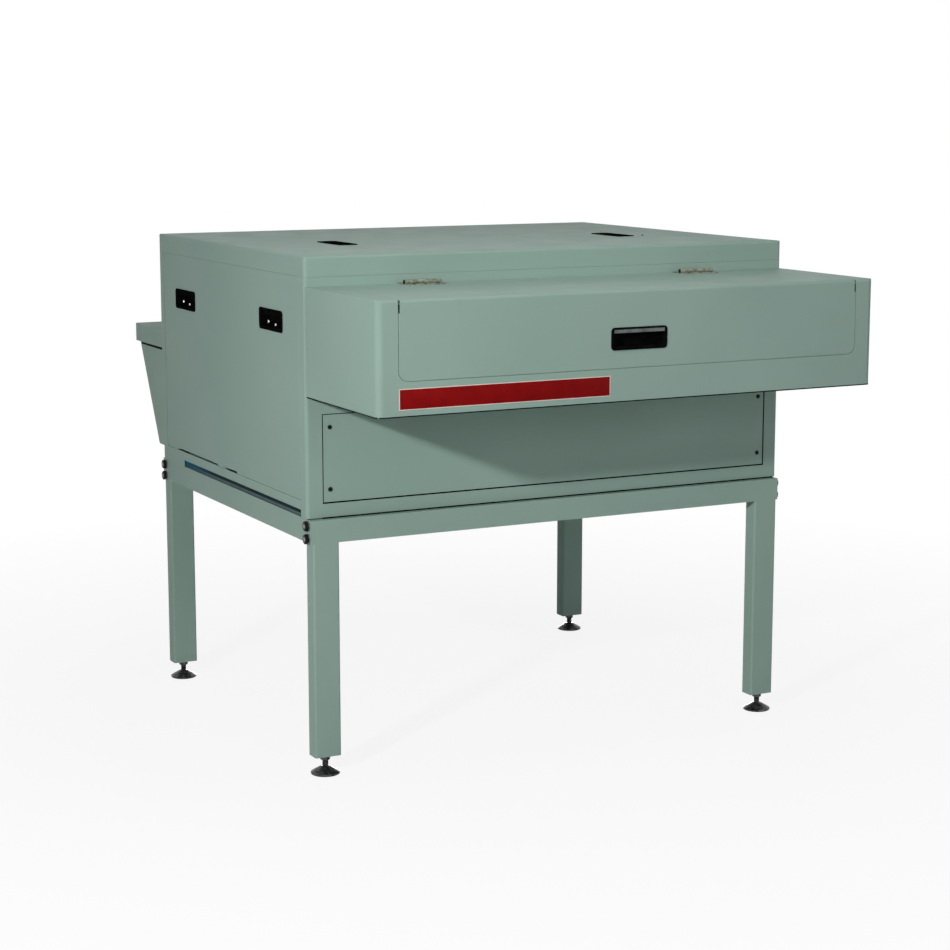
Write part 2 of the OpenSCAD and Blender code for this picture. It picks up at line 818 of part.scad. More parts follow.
// Ledges that the lid's edges rest on
module lid_ledges() {
    edge = lid_w / 2 + lid_seam;
    land = 6;
    gap = sheet + seat;
    for (side = [-1, 1]) {
        // Beside the top and beside the flap
        translate([side * (edge + (land - ledge_w) / 2), 0, 0]) {
            block([-(ledge_w + land) / 2, feed_y + gap, feed_top - gap - sheet],
                [(ledge_w + land) / 2, front_y, feed_top - gap]);
            block([-(ledge_w + land) / 2, feed_y + gap, feed_bottom + sheet],
                [(ledge_w + land) / 2, feed_y + gap + sheet, feed_top - gap]);
        }
        translate([side * (edge + land / 2), 0, 0]) {
            block([-land / 2, feed_y + 2 * lid_bend_r, feed_top - gap - sheet],
                [land / 2, front_y, feed_top - sheet / 2]);
            block([-land / 2, feed_y + sheet / 2, feed_bottom + sheet],
                [land / 2, feed_y + gap + sheet, feed_top - 2 * lid_bend_r]);
        }
    }
    // Behind the flap's lower edge and under the lid's rear edge
    block([-edge, feed_y + gap, flap_bottom - lid_seam - land],
        [edge, feed_y + gap + sheet, flap_bottom + ledge_w]);
    block([-edge, feed_y + sheet / 2, flap_bottom - lid_seam - land],
        [edge, feed_y + gap + sheet, flap_bottom - lid_seam]);
    block([-edge, lid_axis_y - ledge_w, feed_top - gap - sheet], [edge, lid_axis_y + land, feed_top - gap]);
    block([-edge, lid_axis_y + lid_seam / 2, feed_top - gap - sheet],
        [edge, lid_axis_y + land, feed_top - sheet / 2]);
}

module feed_housing() {
    color(paint) {
        difference() {
            feed_shell();
            push_y(feed_y - over, lid_axis_y + lid_seam / 2) flap_outline(lid_seam);
        }
        difference() {
            lid_ledges();
            // Room for the flap's bend and for the lid's corners
            translate([0, 0, -sheet - seat]) push_x(-lid_w / 2 - lid_seam, lid_w / 2 + lid_seam)
                translate([feed_y, feed_top - lid_bend_r + over]) square([lid_bend_r + sheet, lid_bend_r]);
        }
    }
}

table_drop = 4;

module feed_table() {
    x0 = film_x0 - 2 * face_gap;
    x1 = film_x1 + 2 * face_gap;
    front_gap = 16;
    rear_gap = 20;
    stop_h = 10;
    y0 = feed_y + front_gap;
    y1 = front_y - rear_gap;
    top = film - table_drop;
    color(steel) {
        block([x0, y0, top - sheet], [x1, y1, top]);
        for (x = [x0, x1 - sheet]) block([x, y0, feed_bottom + sheet], [x + sheet, y1, top]);
        // Front edge turned up as a stop
        block([x0, y0, top - sheet], [x1, y0 + sheet, top + stop_h]);
    }
}

// Lid: a sheet bent over the front edge, with its stiffening fold along the rear of the flap
module feed_lid() {
    notch_w = 3;
    notch_h = 24;
    color(paint) difference() {
        intersection() {
            difference() {
                push_x(-lid_w / 2, lid_w / 2) feed_profile(0);
                push_x(-lid_w / 2 - over, lid_w / 2 + over) feed_profile(sheet);
                block([-lid_w / 2 - over, feed_y + sheet, feed_bottom - over],
                    [lid_w / 2 + over, front_y + over, feed_bottom + 2 * sheet]);
            }
            push_y(feed_y - over, lid_axis_y - lid_seam / 2) flap_outline(0);
        }
        // Open corner beside the bend
        for (side = [-1, 1])
            block([side * lid_w / 2 - notch_w, feed_y - over, feed_top - notch_h],
                [side * lid_w / 2 + notch_w, feed_y + lid_bend_r, feed_top + over]);
        at_lid_pull() pull_cut();
    }
}

// Hinges, drawn with the pin along X at the origin and the leaves lying at Z = -hinge_rise

knuckle_l = hinge_l / 3;

// Leaf from the pin towards +Y with tongues to the knuckles between the given ends
module hinge_leaf(spans) {
    clear = hinge_rise + hinge_fit;
    block([-hinge_l / 2, clear, -hinge_rise], [hinge_l / 2, leaf_w, leaf_t - hinge_rise]);
    for (s = spans) {
        block([s[0], 0, -hinge_rise], [s[1], clear + over, leaf_t - hinge_rise]);
        block([s[0], 0, -knuckle_d / 4 - hinge_rise / 2], [s[1], knuckle_d / 4, 0]);
        bar_x(knuckle_d, s[0], s[1], 0, 0);
    }
}

outer_spans = [[-hinge_l / 2, -knuckle_l / 2 - knuckle_gap], [knuckle_l / 2 + knuckle_gap, hinge_l / 2]];
inner_spans = [[-knuckle_l / 2, knuckle_l / 2]];

// Fixed leaf with its two knuckles and the pin
module pinned_leaf() {
    hinge_leaf(outer_spans);
    bar_x(hinge_pin_d, -hinge_l / 2 - over, hinge_l / 2 + over, 0, 0);
}

// Turning leaf with the middle knuckle
module turning_leaf() {
    difference() {
        hinge_leaf(inner_spans);
        bar_x(hinge_pin_d + 2 * hinge_fit, -hinge_l / 2, hinge_l / 2, 0, 0);
    }
}

module at_hinges(y, z) {
    for (side = [-1, 1]) translate([side * hinge_spacing / 2, y, z]) children();
}

module lid_hinge_fixed() {
    color(brass) at_hinges(lid_axis_y, feed_top + hinge_rise) pinned_leaf();
}

module lid_hinge_leaves() {
    color(brass) at_hinges(lid_axis_y, feed_top + hinge_rise) rotate([0, 0, 180]) turning_leaf();
}

// Receiver

module receiver_bin() {
    w = receiver_w - 2 * (sheet + bin_inset);
    lid_gap = 2;
    top = receiver_top - sheet - lid_gap;
    low = stand_h + bin_z;
    out_top = receiver_reach - sheet - bin_back_inset;
    slope = (out_top - bin_floor) / (top - low);
    color(paint) difference() {
        push_x(-w / 2, w / 2) polygon([[rear_y, low], [rear_y + bin_floor, low],
            [rear_y + out_top, top], [rear_y, top]]);
        push_x(sheet - w / 2, w / 2 - sheet) polygon([[rear_y - over, low + sheet],
            [rear_y + bin_floor - sheet, low + sheet],
            [rear_y + out_top - sheet + slope * over, top + over], [rear_y - over, top + over]]);
    }
}

module receiver_lid() {
    y0 = rear_y + 2 * seat;
    y1 = rear_y + receiver_reach;
    low = receiver_top - rim_h;
    color(paint) difference() {
        intersection() {
            block([-receiver_w / 2, y0, low], [receiver_w / 2, y1, receiver_top]);
            translate([0, rear_y, low]) linear_extrude(rim_h)
                rounded(receiver_w, 2 * receiver_reach, corner_r);
        }
        block([sheet - receiver_w / 2, y0 - over, low - over],
            [receiver_w / 2 - sheet, y1 - sheet, receiver_top - sheet]);
    }
}

module receiver_hinge_fixed() {
    color(brass) at_hinges(receiver_axis_y, receiver_top + hinge_rise)
        rotate([90, 0, 0]) mirror([0, 0, 1]) pinned_leaf();
}

module receiver_hinge_leaves() {
    color(brass) at_hinges(receiver_axis_y, receiver_top + hinge_rise) turning_leaf();
}

// Tanks and racks

module tank_bearers() {
    bearer_w = 40;
    spread = (tank_x1 - tank_x0) / 2;
    color(dark_paint) for (side = [-1, 1]) translate([tank_x + side * spread / 2, 0, floor_z])
        push_y(developer_y, wash_end) difference() {
            translate([-bearer_w / 2, 0]) square([bearer_w, stand_h + tank_z - floor_z]);
            translate([-bearer_w / 2 + sheet, sheet])
                square([bearer_w, stand_h + tank_z - floor_z - 2 * sheet]);
        }
}

module tank(y, l, heated) {
    w = tank_x1 - tank_x0;
    r = 12;
    color(pvc) difference() {
        translate([tank_x, y + l / 2, stand_h + tank_z]) linear_extrude(tank_h) rounded(w, l, r);
        translate([tank_x, y + l / 2, tank_floor]) linear_extrude(tank_h)
            rounded(w - 2 * tank_wall, l - 2 * tank_wall, r - tank_wall);
        translate([tank_x, y + l / 2, stand_h + tank_z - over])
            cylinder(d = spigot_bore, h = tank_wall + 2 * over);
        if (heated)
            bar_x(heater_d + 2 * heater_slack, tank_x0 - over, tank_x0 + tank_wall + over,
                y + l / 2, heater_z);
    }
}

heater_slack = 0.2;
heater_rise = 18;
heater_z = tank_floor + heater_rise;

module developer_tank() {
    tank(developer_y, developer_l, true);
}

module fixer_tank() {
    tank(fixer_y, fixer_l, true);
}

module wash_tank() {
    tank(wash_y, wash_l, false);
}

// Lift-out rack: two side plates on the tank's floor, joined by tie rods
module rack(y, l) {
    y0 = y + tank_wall + rack_gap;
    y1 = y + l - tank_wall - rack_gap;
    top = upper_z + bearing_edge;
    arch_h = 36;
    arch_w = 60;
    tie_in = 1.4 * tie_d;
    low_tie = tank_floor + arch_h + tie_d;
    color(pvc) difference() {
        union() {
            for (x = [rack_x0, rack_x1 - rack_plate]) block([x, y0, tank_floor], [x + rack_plate, y1, top]);
            bar_x(tie_d, rack_x0, rack_x1, y0 + tie_in, top - tie_in);
            for (ty = [y0 + tie_in, y1 - tie_in]) bar_x(tie_d, rack_x0, rack_x1, ty, low_tie);
        }
        pair_bores(pair_y(y, l));
        bar_x(shaft_d + 2 * shaft_fit, rack_x0 - over, rack_x1 + over, turn_y(y, l), tank_floor + turn_z);
        push_x(rack_x0 - over, rack_x1 + over) translate([y + l / 2, tank_floor - over])
            arched(arch_w, arch_h + over, arch_w / 4);
    }
}

module developer_rack() {
    rack(developer_y, developer_l);
}

module fixer_rack() {
    rack(fixer_y, fixer_l);
}

module wash_rack() {
    rack(wash_y, wash_l);
}

// Gears and rollers

pressure_angle = 20;
function inv(a) = tan(a) - a * PI / 180;
// Half the angle of a tooth at radius r, for a gear of pitch radius rp with base radius rb
function half_tooth(r, rp, rb) = (90 / gear_teeth) - (backlash / 2) / rp * 180 / PI
    + (inv(pressure_angle) - inv(acos(min(1, rb / r)))) * 180 / PI;
function polar(r, a) = [r * cos(a), r * sin(a)];

// Involute spur gear, with its first tooth on +X
module gear_outline() {
    rp = pair_step / 2;
    tooth = pair_step / gear_teeth;
    dedendum = 1.25 * tooth;
    rb = rp * cos(pressure_angle);
    root = rp - dedendum;
    tip = rp + tooth;
    radii = [root - over, for (k = [0 : 3]) max(rb, root) + k * (tip - max(rb, root)) / 3];
    flank = [for (r = radii) polar(r, half_tooth(max(r, rb), rp, rb))];
    other = [for (k = [len(radii) - 1 : -1 : 0]) polar(radii[k], -half_tooth(max(radii[k], rb), rp, rb))];
    circle(root);
    for (k = [0 : gear_teeth - 1]) rotate(k * 360 / gear_teeth) polygon(concat(flank, other));
}

sprocket_r = chain_pitch / (2 * sin(180 / sprocket_teeth));

module sprocket_outline() {
    root = sprocket_r - 0.32 * chain_pitch;
    tip = sprocket_r + 0.25 * chain_pitch;
    foot_half = 0.30 * chain_pitch;
    tip_half = 0.09 * chain_pitch;
    circle(root);
    for (k = [0 : sprocket_teeth - 1]) rotate(k * 360 / sprocket_teeth)
        polygon([[root - over, -foot_half], [tip, -tip_half], [tip, tip_half], [root - over, foot_half]]);
}

// Covered roller between the rack plates; its gear starts with a tooth or a space at the nip
module pair_roller(y, z, phase, shaft_end) {
    translate([0, y, z]) rotate([0, 90, 0]) {
        color(rubber) translate([0, 0, rack_x0 + rack_plate + face_gap])
            cylinder(d = roller_d, h = rack_x1 - rack_x0 - 2 * (rack_plate + face_gap));
        color(steel) translate([0, 0, rack_x0 - gear_gap])
            cylinder(d = shaft_d, h = shaft_end - rack_x0 + gear_gap);
        color(pvc) translate([0, 0, gear_x]) rotate(phase) linear_extrude(gear_face) gear_outline();
    }
}

module lower_roller(y, shaft_end) {
    pair_roller(y, lower_z, 0, shaft_end);
    color(steel) translate([sprocket_x, y, lower_z]) rotate([0, 90, 0])
        linear_extrude(sprocket_t) sprocket_outline();
}

module upper_roller(y) {
    pair_roller(y, upper_z, 180 / gear_teeth, gear_x + gear_face + gear_gap);
}

module turn_roller(y, l) {
    translate([0, turn_y(y, l), tank_floor + turn_z]) rotate([0, 90, 0]) {
        color(rubber) translate([0, 0, rack_x0 + rack_plate + face_gap])
            cylinder(d = turn_d, h = rack_x1 - rack_x0 - 2 * (rack_plate + face_gap));
        color(steel) translate([0, 0, rack_x0 - gear_gap])
            cylinder(d = shaft_d, h = rack_x1 - rack_x0 + 2 * gear_gap);
    }
}

short_end = sprocket_x + sprocket_t + gear_gap;
motor_shaft_end = bracket_x + gearbox_t - face_gap;

module feed_roller_lower() {
    lower_roller(pairs[0], short_end);
}

module feed_roller_upper() {
    upper_roller(pairs[0]);
}

module developer_roller_lower() {
    lower_roller(pairs[1], motor_shaft_end);
}

module developer_roller_upper() {
    upper_roller(pairs[1]);
}

module developer_turn_roller() {
    turn_roller(developer_y, developer_l);
}

module fixer_roller_lower() {
    lower_roller(pairs[2], short_end);
}

module fixer_roller_upper() {
    upper_roller(pairs[2]);
}

module fixer_turn_roller() {
    turn_roller(fixer_y, fixer_l);
}

module wash_roller_lower() {
    lower_roller(pairs[3], short_end);
}

module wash_roller_upper() {
    upper_roller(pairs[3]);
}

module wash_turn_roller() {
    turn_roller(wash_y, wash_l);
}

module exit_roller_lower() {
    lower_roller(pairs[4], short_end);
}

module exit_roller_upper() {
    upper_roller(pairs[4]);
}

// Drive

// Long loop round the first and last sprockets, at radius r
module loop(r) {
    first = pairs[0];
    last = pairs[4];
    translate([first, lower_z - r]) square([last - first, 2 * r]);
    for (y = [first, last]) translate([y, lower_z]) circle(r);
}

// True where no sprocket reaches the chain at y
function free_run(y) = min([for (p = pairs) abs(y - p)]) > sprocket_r + chain_pitch / 2;

module drive_chain() {
    pin_d = 0.6 * chain_pitch;
    mid_x = sprocket_x + sprocket_t / 2;
    inner = sprocket_t / 2 + link_gap;
    step = 2 * chain_pitch;
    color(dark_steel) {
        for (x = [mid_x - inner - link_t, mid_x + inner]) push_x(x, x + link_t) difference() {
            loop(sprocket_r + link_h / 2);
            loop(sprocket_r - link_h / 2);
        }
        for (y = [pairs[0] : step : pairs[4]]) if (free_run(y)) for (s = [-1, 1])
            bar_x(pin_d, mid_x - inner - link_t / 2, mid_x + inner + link_t / 2, y, lower_z + s * sprocket_r);
    }
}

bracket_t = 4;

module motor_bracket() {
    edge = 8;
    w = gearbox_size + 2 * edge;
    foot_w = 40;
    hole_gap = 1;
    hole_d = shaft_d + 2 * hole_gap;
    color(dark_paint) difference() {
        union() {
            block([bracket_x, motor_y - w / 2, floor_z], [bracket_x + bracket_t, motor_y + w / 2, upper_z]);
            block([bracket_x, motor_y - w / 2, floor_z],
                [bracket_x + foot_w, motor_y + w / 2, floor_z + bracket_t]);
        }
        bar_x(hole_d, bracket_x - over, bracket_x + bracket_t + over, motor_y, lower_z);
    }
}

module drive_motor() {
    x0 = bracket_x + bracket_t;
    half = gearbox_size / 2;
    axis_x = x0 + motor_gap + motor_d / 2;
    low = lower_z - half - motor_l;
    gearbox_r = 10;
    cap_step = 3;
    cap_d = motor_d - 2 * cap_step;
    cap_h = 8;
    color(dark_steel) difference() {
        union() {
            translate([x0, motor_y, lower_z]) rotate([0, 90, 0])
                linear_extrude(gearbox_t) rounded(gearbox_size, gearbox_size, gearbox_r);
            translate([axis_x, motor_y, low]) cylinder(d = motor_d, h = motor_l + over);
            translate([axis_x, motor_y, low - cap_h]) cylinder(d = cap_d, h = cap_h + over);
        }
        bar_x(shaft_d + 2 * shaft_fit, x0 - over, x0 + gearbox_t + over, motor_y, lower_z);
    }
}

// Dryer

slot_count = 4;

// Air box between the dryer's end plates, with its slots facing the film
module air_box(z0, z1, slot_z) {
    y1 = air_box_y + dryer_l;
    step = dryer_l / slot_count;
    difference() {
        block([rack_x0 + dryer_plate / 2, air_box_y, z0], [rack_x1 - dryer_plate / 2, y1, z1]);
        block([rack_x0 + dryer_plate, air_box_y + sheet, z0 + sheet],
            [rack_x1 - dryer_plate, y1 - sheet, z1 - sheet]);
        for (k = [0 : slot_count - 1])
            translate([(rack_x0 + rack_x1) / 2, air_box_y + (k + 0.5) * step, slot_z])
                cube([film_x1 - film_x0, air_slot, 3 * sheet], center = true);
    }
}

fan_y = air_box_y + dryer_l / 2;
fan_rim = 3;
fan_bore = fan_size - 2 * fan_rim;

module dryer_frame() {
    low_top = film - air_box_gap;
    high = film + air_box_gap;
    inlet_d = 0.75 * fan_bore;
    color(steel) difference() {
        union() {
            for (x = [rack_x0, rack_x1 - dryer_plate])
                block([x, dryer_y, floor_z], [x + dryer_plate, exit_pair_y + bearing_edge, dryer_top]);
            air_box(high, dryer_top, high);
            air_box(low_top - air_box_h, low_top, low_top);
        }
        pair_bores(exit_pair_y);
        translate([tank_x, fan_y, dryer_top - 2 * sheet]) cylinder(d = fan_bore, h = 4 * sheet);
        translate([tank_x, fan_y, low_top - air_box_h - over]) cylinder(d = inlet_d, h = sheet + 2 * over);
    }
}

fan_hub = 46;
fan_shaft = 6;
spoke_t = 4;

module dryer_fan_frame() {
    fan_r = 7;
    spoke_turn = 20;
    color(black) translate([tank_x, fan_y, dryer_top]) {
        difference() {
            linear_extrude(fan_depth) rounded(fan_size, fan_size, fan_r);
            translate([0, 0, -over]) cylinder(d = fan_bore, h = fan_depth + 2 * over);
        }
        translate([0, 0, fan_depth - spoke_t]) {
            cylinder(d = fan_hub, h = spoke_t);
            for (a = [0 : 90 : 270]) rotate(a + spoke_turn)
                translate([0, -spoke_t / 2, 0]) cube([fan_bore / 2 + over, spoke_t, spoke_t]);
        }
        translate([0, 0, spoke_t]) cylinder(d = fan_shaft, h = fan_depth - spoke_t);
    }
}

module dryer_fan_impeller() {
    hub_gap = 2;
    hub_h = fan_depth - 2 * spoke_t - hub_gap;
    blade_t = 2;
    tip_gap = 2;
    tilt = 40;
    color(dark_steel) translate([tank_x, fan_y, dryer_top + spoke_t]) difference() {
        union() {
            cylinder(d = fan_hub, h = hub_h);
            intersection() {
                cylinder(d = fan_bore - 2 * tip_gap, h = hub_h);
                for (k = [0 : fan_blades - 1]) rotate(k * 360 / fan_blades) translate([0, 0, hub_h / 2])
                    rotate([tilt, 0, 0]) translate([0, -blade_t / 2, -hub_h])
                        cube([fan_bore, blade_t, 2 * hub_h]);
            }
        }
        translate([0, 0, -over]) cylinder(d = fan_shaft + 2 * shaft_fit, h = hub_h + 2 * over);
    }
}

// Pumps, heaters, drains and controls

pump_d = 60;
pump_l = 100;
pump_spacing = 220;
pump_xs = [tank_x - pump_spacing / 2, tank_x + pump_spacing / 2];

module circulation_pumps() {
    volute_d = 66;
    volute_l = 28;
    pump_in = 62;
    outlet_d = 20;
    outlet_l = 16;
    block_l = 20;
    block_in = 8;
    y = front_y + pump_in;
    z = floor_z + volute_d / 2 + over;
    color(dark_steel) for (x = pump_xs) {
        bar_x(pump_d, x - pump_l / 2, x + pump_l / 2, y, z);
        bar_x(volute_d, x + pump_l / 2, x + pump_l / 2 + volute_l, y, z);
        bar_y(outlet_d, y, y + volute_d / 2 + outlet_l, x + pump_l / 2 + volute_l / 2, z + volute_d / 4);
        for (dx = [block_in - pump_l / 2, pump_l / 2 - block_in - block_l])
            block([x + dx, y - pump_d / 3, floor_z], [x + dx + block_l, y + pump_d / 3, z]);
    }
}

module tank_heaters() {
    cap_d = 36;
    cap_l = 26;
    color(steel) for (y = [developer_y + developer_l / 2, fixer_y + fixer_l / 2]) {
        bar_x(heater_d, tank_x0 - cap_l / 2, tank_x0 + heater_l, y, heater_z);
        bar_x(cap_d, tank_x0 - cap_l, tank_x0, y, heater_z);
    }
}

module drain_spigots() {
    flange_d = 2 * spigot_d;
    flange_t = 6;
    low = base_z - neck_end - spigot_tail;
    length = stand_h + tank_z - low;
    color(pvc) for (y = spigot_ys) translate([tank_x, y, low]) difference() {
        union() {
            cylinder(d = spigot_d, h = length);
            translate([0, 0, spigot_tail]) cylinder(d = neck_d, h = length - spigot_tail);
            translate([0, 0, length - flange_t]) cylinder(d = flange_d, h = flange_t);
        }
        translate([0, 0, -over]) cylinder(d = spigot_bore, h = length + 2 * over);
    }
}

module control_box() {
    box_gap = 14;
    x0 = bracket_x + bracket_t;
    x1 = cabinet_w / 2 - panel_fold - face_gap;
    y0 = front_y + post_w;
    y1 = motor_y - gearbox_size / 2 - box_gap;
    h = 170;
    box_r = 5;
    lid_t = 4;
    lid_in = 2;
    color(dark_paint) translate([(x0 + x1) / 2, (y0 + y1) / 2, floor_z]) {
        linear_extrude(h) rounded(x1 - x0, y1 - y0, box_r);
        translate([0, 0, h]) linear_extrude(lid_t)
            rounded(x1 - x0 - 2 * lid_in, y1 - y0 - 2 * lid_in, box_r);
    }
}

left_stand_frame();
right_stand_frame();
cross_rails();
frame_bolts();
foot_lock_nuts();
foot_front_left();
foot_front_right();
foot_rear_left();
foot_rear_right();
packing_strips();
base_pan();
front_panel();
access_panel();
rear_panel();
left_side_panel();
left_pulls();
right_side_panel();
right_pulls();
top_cover();
top_pulls();
feed_housing();
feed_table();
feed_lid();
lid_pull();
lid_hinge_fixed();
lid_hinge_leaves();
receiver_bin();
receiver_lid();
receiver_hinge_fixed();
receiver_hinge_leaves();
tank_bearers();
developer_tank();
fixer_tank();
wash_tank();
developer_rack();
fixer_rack();
wash_rack();
feed_roller_lower();
feed_roller_upper();
developer_turn_roller();
developer_roller_lower();
developer_roller_upper();
fixer_turn_roller();
fixer_roller_lower();
fixer_roller_upper();
wash_turn_roller();
wash_roller_lower();
wash_roller_upper();
exit_roller_lower();
exit_roller_upper();
drive_chain();
motor_bracket();
drive_motor();
dryer_frame();
dryer_fan_frame();
dryer_fan_impeller();
circulation_pumps();
tank_heaters();
drain_spigots();
control_box();
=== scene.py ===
import math

import bpy
from mathutils import Matrix, Vector


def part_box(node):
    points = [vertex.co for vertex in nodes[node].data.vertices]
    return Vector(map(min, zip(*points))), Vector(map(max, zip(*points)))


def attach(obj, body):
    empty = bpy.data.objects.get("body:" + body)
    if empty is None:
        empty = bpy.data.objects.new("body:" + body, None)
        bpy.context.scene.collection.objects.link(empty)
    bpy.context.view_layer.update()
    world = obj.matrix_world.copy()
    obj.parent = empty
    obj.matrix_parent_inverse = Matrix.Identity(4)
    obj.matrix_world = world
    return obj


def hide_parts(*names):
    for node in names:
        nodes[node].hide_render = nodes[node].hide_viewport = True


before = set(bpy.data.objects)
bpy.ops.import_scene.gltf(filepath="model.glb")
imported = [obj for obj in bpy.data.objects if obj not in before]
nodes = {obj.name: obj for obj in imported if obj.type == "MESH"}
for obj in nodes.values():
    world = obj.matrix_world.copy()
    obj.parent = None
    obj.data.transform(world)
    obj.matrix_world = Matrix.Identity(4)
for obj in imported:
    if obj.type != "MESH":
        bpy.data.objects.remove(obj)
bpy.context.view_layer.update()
scene = bpy.context.scene
scene.view_settings.view_transform = "Standard"

MM = 0.001
UP = Vector((0, 0, 1))


def mm(*values):
    return Vector([v * MM for v in values])


# Camera, at the photograph's viewing angle

VIEW_YAW = math.radians(27.04)
VIEW_PITCH = math.radians(9.64)
VIEW_FROM = mm(-2087, -4091.4, 1274.9)
FOCAL_PX, PICTURE_PX, SENSOR_MM = 2172, 950, 36
view_data = bpy.data.cameras.new("view")
view_data.sensor_width = SENSOR_MM
view_data.lens = FOCAL_PX / PICTURE_PX * SENSOR_MM
view_data.clip_end = 50
view = bpy.data.objects.new("view", view_data)
scene.collection.objects.link(view)
view.location = VIEW_FROM
looking = Vector((math.sin(VIEW_YAW) * math.cos(VIEW_PITCH),
                  math.cos(VIEW_YAW) * math.cos(VIEW_PITCH), -math.sin(VIEW_PITCH)))
view.rotation_euler = looking.to_track_quat("-Z", "Y").to_euler()
scene.camera = view


# Finishes. A drift spreads the middle of a noise's range over the whole way between two values.

DRIFT = (0.3, 0.7)


def link(tree, source, target):
    tree.links.new(source, target)


def finish_base(name, roughness, metallic=0.0, specular=0.5):
    """An empty finish: its node tree, its shader and a point on the piece as Object coordinates."""
    material = bpy.data.materials.new(name)
    material.use_nodes = True
    tree = material.node_tree
    shader = tree.nodes["Principled BSDF"]
    shader.inputs["Roughness"].default_value = roughness
    shader.inputs["Metallic"].default_value = metallic
    shader.inputs["Specular IOR Level"].default_value = specular
    place = tree.nodes.new("ShaderNodeTexCoord").outputs["Object"]
    return material, tree, shader, place


def stretched(tree, place, stretch):
    """The place on the piece with its axes scaled, for grain that runs one way."""
    mapping = tree.nodes.new("ShaderNodeMapping")
    mapping.inputs["Scale"].default_value = stretch
    link(tree, place, mapping.inputs["Vector"])
    return mapping.outputs["Vector"]


def cloudy(tree, place, scale, detail=4.0):
    noise = tree.nodes.new("ShaderNodeTexNoise")
    noise.inputs["Scale"].default_value = scale
    noise.inputs["Detail"].default_value = detail
    link(tree, place, noise.inputs["Vector"])
    return noise.outputs["Fac"]


def graded(tree, value, low, high, out_low, out_high):
    spread = tree.nodes.new("ShaderNodeMapRange")
    spread.inputs["From Min"].default_value = low
    spread.inputs["From Max"].default_value = high
    spread.inputs["To Min"].default_value = out_low
    spread.inputs["To Max"].default_value = out_high
    link(tree, value, spread.inputs["Value"])
    return spread.outputs["Result"]


def blended(tree, share, first, second):
    """A colour between two colours or colour sockets."""
    mix = tree.nodes.new("ShaderNodeMix")
    mix.data_type = "RGBA"
    link(tree, share, mix.inputs["Factor"])
    for socket, colour in ((mix.inputs[6], first), (mix.inputs[7], second)):
        if isinstance(colour, tuple):
            socket.default_value = (*colour, 1)
        else:
            link(tree, colour, socket)
    return mix.outputs[2]


def raised(tree, shader, height, distance, strength=1.0):
    bump = tree.nodes.new("ShaderNodeBump")
    bump.inputs["Strength"].default_value = strength
    bump.inputs["Distance"].default_value = distance
    link(tree, height, bump.inputs["Height"])
    link(tree, bump.outputs["Normal"], shader.inputs["Normal"])


def along_axis(tree, place, axis):
    split = tree.nodes.new("ShaderNodeSeparateXYZ")
    link(tree, place, split.inputs["Vector"])
    return split.outputs[axis]


def plain_finish(name, dark, light, scale, roughness, metallic=0.0, grain=900.0, depth=0.03,
                 stretch=(1, 1, 1), specular=0.5):
    """A finish whose colour and gloss drift between two values, over a fine grain."""
    material, tree, shader, place = finish_base(name, roughness, metallic, specular)
    place = stretched(tree, place, stretch)
    drift = cloudy(tree, place, scale)
    link(tree, blended(tree, graded(tree, drift, *DRIFT, 0, 1), dark, light), shader.inputs["Base Color"])
    link(tree, graded(tree, drift, *DRIFT, roughness * 1.12, roughness * 0.88), shader.inputs["Roughness"])
    raised(tree, shader, cloudy(tree, place, grain, 2.0), depth * MM)
    return material


def paint_finish():
    """Stoved enamel on sheet metal: orange peel, a faint drift of colour and darker flecks."""
    material, tree, shader, place = finish_base("sheet_paint", 0.46, specular=0.04)
    drift = graded(tree, cloudy(tree, place, 3.5, 3.0), *DRIFT, 0, 1)
    body = blended(tree, drift, (0.262, 0.372, 0.326), (0.286, 0.398, 0.350))
    fleck = graded(tree, cloudy(tree, place, 55.0, 6.0), 0.62, 0.78, 0, 0.35)
    body = blended(tree, fleck, body, (0.240, 0.345, 0.305))
    link(tree, body, shader.inputs["Base Color"])
    link(tree, graded(tree, cloudy(tree, place, 14.0), *DRIFT, 0.40, 0.52), shader.inputs["Roughness"])
    raised(tree, shader, cloudy(tree, place, 420.0, 1.0), 0.05 * MM, 0.6)
    return material


def packing_finish():
    """Rubber packing that turns blue towards the rear: dusty grey, darker at its foot, with a painted shadow along
    its top where the base flange overhangs it.
    """
    darker_foot_band, flange_shadow_band, turns_blue = (0.5032, 0.5042), (0.5086, 0.5096), (0.16, 0.36)
    material, tree, shader, place = finish_base("packing_rubber", 0.7, specular=0.02)
    height = along_axis(tree, place, "Z")
    rearward = graded(tree, along_axis(tree, place, "Y"), *turns_blue, 0, 1)
    dusty = blended(tree, rearward, (0.100, 0.145, 0.145), (0.035, 0.085, 0.110))
    # painted shadow: the top band is dark where the base flange overhangs the packing, and it turns blue towards
    # the rear
    top = blended(tree, rearward, (0.008, 0.020, 0.022), (0.006, 0.130, 0.240))
    body = blended(tree, graded(tree, height, *flange_shadow_band, 0, 1), dusty, top)
    body = blended(tree, graded(tree, height, *darker_foot_band, 0.8, 0), body, (0.022, 0.042, 0.044))
    drift = graded(tree, cloudy(tree, place, 30), 0.35, 0.7, 0, 0.3)
    link(tree, blended(tree, drift, body, (0.030, 0.045, 0.050)), shader.inputs["Base Color"])
    raised(tree, shader, cloudy(tree, place, 900.0, 2.0), 0.05 * MM)
    return material


